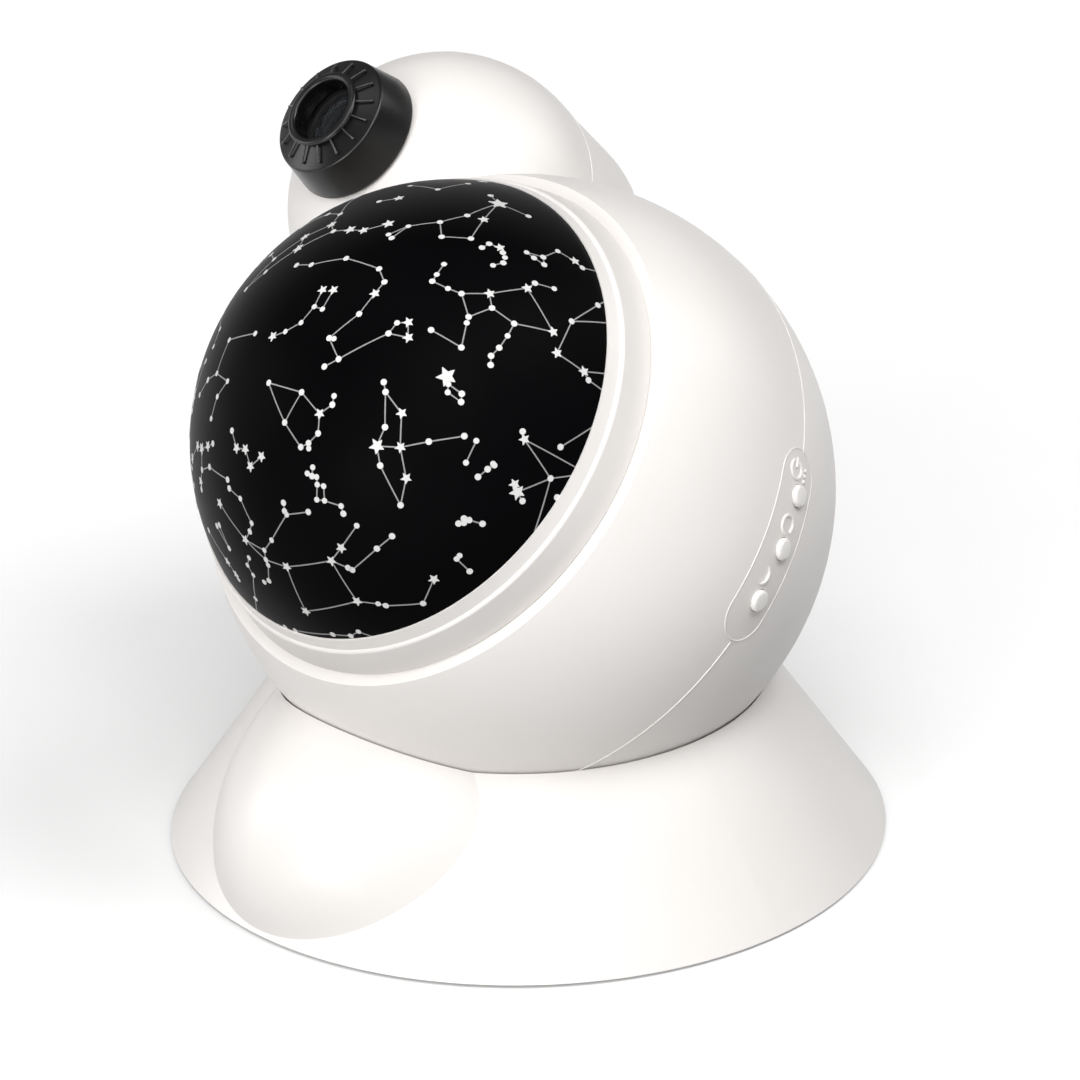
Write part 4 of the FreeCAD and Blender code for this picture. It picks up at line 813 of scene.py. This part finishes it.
lampSign = [signArc("ring", lambda angle: abs(angle) > sign["lampGap"]), signBar(*sign["lampBar"])]
for x, y in sign["dots"]:
    dot = addNew(bpy.ops.mesh.primitive_uv_sphere_add, "timerDot", segments=16, ring_count=10,
                 radius=sign["dotRadius"] * mm, location=(x * mm, y * mm, 0))
    pick(dot, lambda spot: spot.z > 0)
    bpy.ops.transform.resize(value=(1, 1, sign["dotFlat"]), center_override=(0, 0, 0))
    bpy.ops.object.mode_set(mode="OBJECT")
    lampSign.append(dot)
turnSign = [signArc("turnArc", lambda angle: not sign["turnGap"][0] < angle < sign["turnGap"][1])]
tip = addNew(bpy.ops.mesh.primitive_cone_add, "arrowTip", vertices=3, radius1=sign["arrowSize"] * mm,
             radius2=0, depth=sign["arrowDepth"] * mm, location=Vector(sign["arrow"]) * mm,
             rotation=(0, 0, radians(sign["arrowTurn"])))
bpy.ops.object.transform_apply(location=True, rotation=True)
useModifier(tip, "BEVEL", width=sign["arrowRound"] * mm, segments=3, limit_method="NONE")
turnSign.append(tip)
# The moon is a flattened ball with a bite taken out of its side
moon = addNew(bpy.ops.mesh.primitive_uv_sphere_add, "moon", segments=40, ring_count=20,
              radius=sign["moonRadius"] * mm)
pick(moon, lambda spot: True)
bpy.ops.transform.resize(value=(1, 1, sign["moonHeight"]), center_override=(0, 0, 0))
bpy.ops.object.mode_set(mode="OBJECT")
bite = addNew(bpy.ops.mesh.primitive_uv_sphere_add, "bite", segments=40, ring_count=20,
              radius=sign["biteRadius"] * mm, location=(0, sign["moonBite"] * mm, 0))
useModifier(moon, "BOOLEAN", operation="DIFFERENCE", object=bite, solver="EXACT")
bpy.data.objects.remove(bite)
signs = []
for (x, y), marks in zip(sign["places"], (lampSign, turnSign, [moon])):
    spot = Vector((x, y, sqrt(ball["radius"] ** 2 - x ** 2 - y ** 2)))
    out = spot.normalized()
    place = aim(spot - out * sign["sunk"], out, (Vector((1, 0, 0)) - out * out.x).normalized())
    one = joined("sign", marks)
    one.data.transform(place)
    signs.append(one)
panelSigns = joined("panelSigns", signs)
settle(panelSigns, panelPlace, finishes["button_plastic"], "ball", 40)
print("panel signs raised")

# Studio: camera, lamps (azimuth, elevation, watts), world and floor, in metres and degrees
studio = {"eye": (1.2419, -1.1108, 0.8313), "heading": 48.03, "pitch": 65.79, "roll": -1.17,
          "lens": 232.8, "worldLight": 0.02, "worldGloss": 0.2, "floorTone": 0.2, "floorSeen": 0.8,
          "fibre": 0.02, "floorSize": 12, "target": (0, 0, 0.09), "reach": 1.8, "size": 0.9,
          "glow": (0.15, 1.0, 0.2, 0.62),
          "lamps": (("lowLamp", -75.8, 8, 14.0), ("leftLamp", -141.8, 15, 6.5), ("frontLamp", -73.8, 32, 4.5),
                    ("keyLamp", -41.8, 32, 7.0), ("topLamp", -43.8, 58, 12.0), ("sideLamp", 23.2, 58, 14.5),
                    ("upperLamp", -149.8, 55, 3.2), ("rimLamp", 68.2, 35, 4.5))}
bpy.ops.object.camera_add()
camera = bpy.context.object
turn = Matrix.Rotation(radians(studio["heading"]), 4, "Z")
turn = turn @ Matrix.Rotation(radians(studio["pitch"]), 4, "X")
turn = turn @ Matrix.Rotation(radians(studio["roll"]), 4, "Z")
camera.matrix_world = Matrix.Translation(studio["eye"]) @ turn
camera.data.lens = studio["lens"]
camera.data.sensor_width = 36
camera.data.clip_start = 0.1
camera.data.clip_end = 20
bpy.context.scene.camera = camera
bpy.context.scene.view_settings.view_transform = "Standard"

for name, around, up, power in studio["lamps"]:
    level = cos(radians(up))
    away = Vector((cos(radians(around)) * level, sin(radians(around)) * level, sin(radians(up))))
    bpy.ops.object.light_add(type="AREA", location=Vector(studio["target"]) + away * studio["reach"])
    lamp = bpy.context.object
    lamp.name = name
    lamp.data.shape = "DISK"
    lamp.data.size = studio["size"]
    lamp.data.energy = power
    lamp.rotation_euler = (-away).to_track_quat("-Z", "Y").to_euler()

world = bpy.data.worlds.new("studioWorld")
bpy.context.scene.world = world
world.use_nodes = True
sky = world.node_tree
back = sky.nodes["Background"]
rays = sky.nodes.new("ShaderNodeLightPath")
gloss = sky.nodes.new("ShaderNodeMapRange")
sky.links.new(rays.outputs["Is Glossy Ray"], gloss.inputs["Value"])
gloss.inputs["To Min"].default_value = studio["worldLight"]
gloss.inputs["To Max"].default_value = studio["worldGloss"]
direct = sky.nodes.new("ShaderNodeMath")
direct.operation = "MAXIMUM"
sky.links.new(rays.outputs["Is Camera Ray"], direct.inputs[0])
sky.links.new(rays.outputs["Is Transmission Ray"], direct.inputs[1])
level = sky.nodes.new("ShaderNodeMath")
level.operation = "MAXIMUM"
sky.links.new(gloss.outputs[0], level.inputs[0])
sky.links.new(direct.outputs[0], level.inputs[1])
sky.links.new(level.outputs[0], back.inputs["Strength"])
back.inputs["Color"].default_value = (1, 1, 1, 1)

# White paper floor: camera, gloss and glass see it brighter and glowing a little, with the object's shadow
floor = addNew(bpy.ops.mesh.primitive_plane_add, "studioFloor", size=studio["floorSize"])
paper = Finish("floorPaper")
tone, seen, change = studio["floorTone"], studio["floorSeen"], studio["fibre"]
fibre = paper.noise(30, 3)
paper.set(Base_Color=paper.blend(fibre, (tone,) * 3, (tone + change,) * 3), Roughness=0.95)
seenColour = paper.blend(fibre, (seen,) * 3, (seen + change,) * 3)
sheet = paper.node("ShaderNodeBsdfDiffuse", inputs={"Color": seenColour})
reach = paper.node("ShaderNodeVectorMath", {"operation": "LENGTH"},
                   {"Vector": paper.node("ShaderNodeTexCoord", out="Object")}, "Value")
glow = paper.node("ShaderNodeEmission", inputs={"Color": paper.span(reach, *studio["glow"]), "Strength": 1.0})
lit = paper.tree.nodes.new("ShaderNodeAddShader")
paper.tree.links.new(sheet.socket, lit.inputs[0])
paper.tree.links.new(glow.socket, lit.inputs[1])
direct = paper.node("ShaderNodeLightPath", out="Is Camera Ray")
direct = direct.maths("MAXIMUM", paper.node("ShaderNodeLightPath", out="Is Glossy Ray"))
direct = direct.maths("MAXIMUM", paper.node("ShaderNodeLightPath", out="Is Transmission Ray"))
either = paper.node("ShaderNodeMixShader", inputs={"Fac": direct})
paper.tree.links.new(paper.skin.outputs[0], either.socket.node.inputs[1])
paper.tree.links.new(lit.outputs[0], either.socket.node.inputs[2])
paper.tree.links.new(either.socket, paper.end.inputs["Surface"])
floor.data.materials.append(paper.material)
print("studio ready")
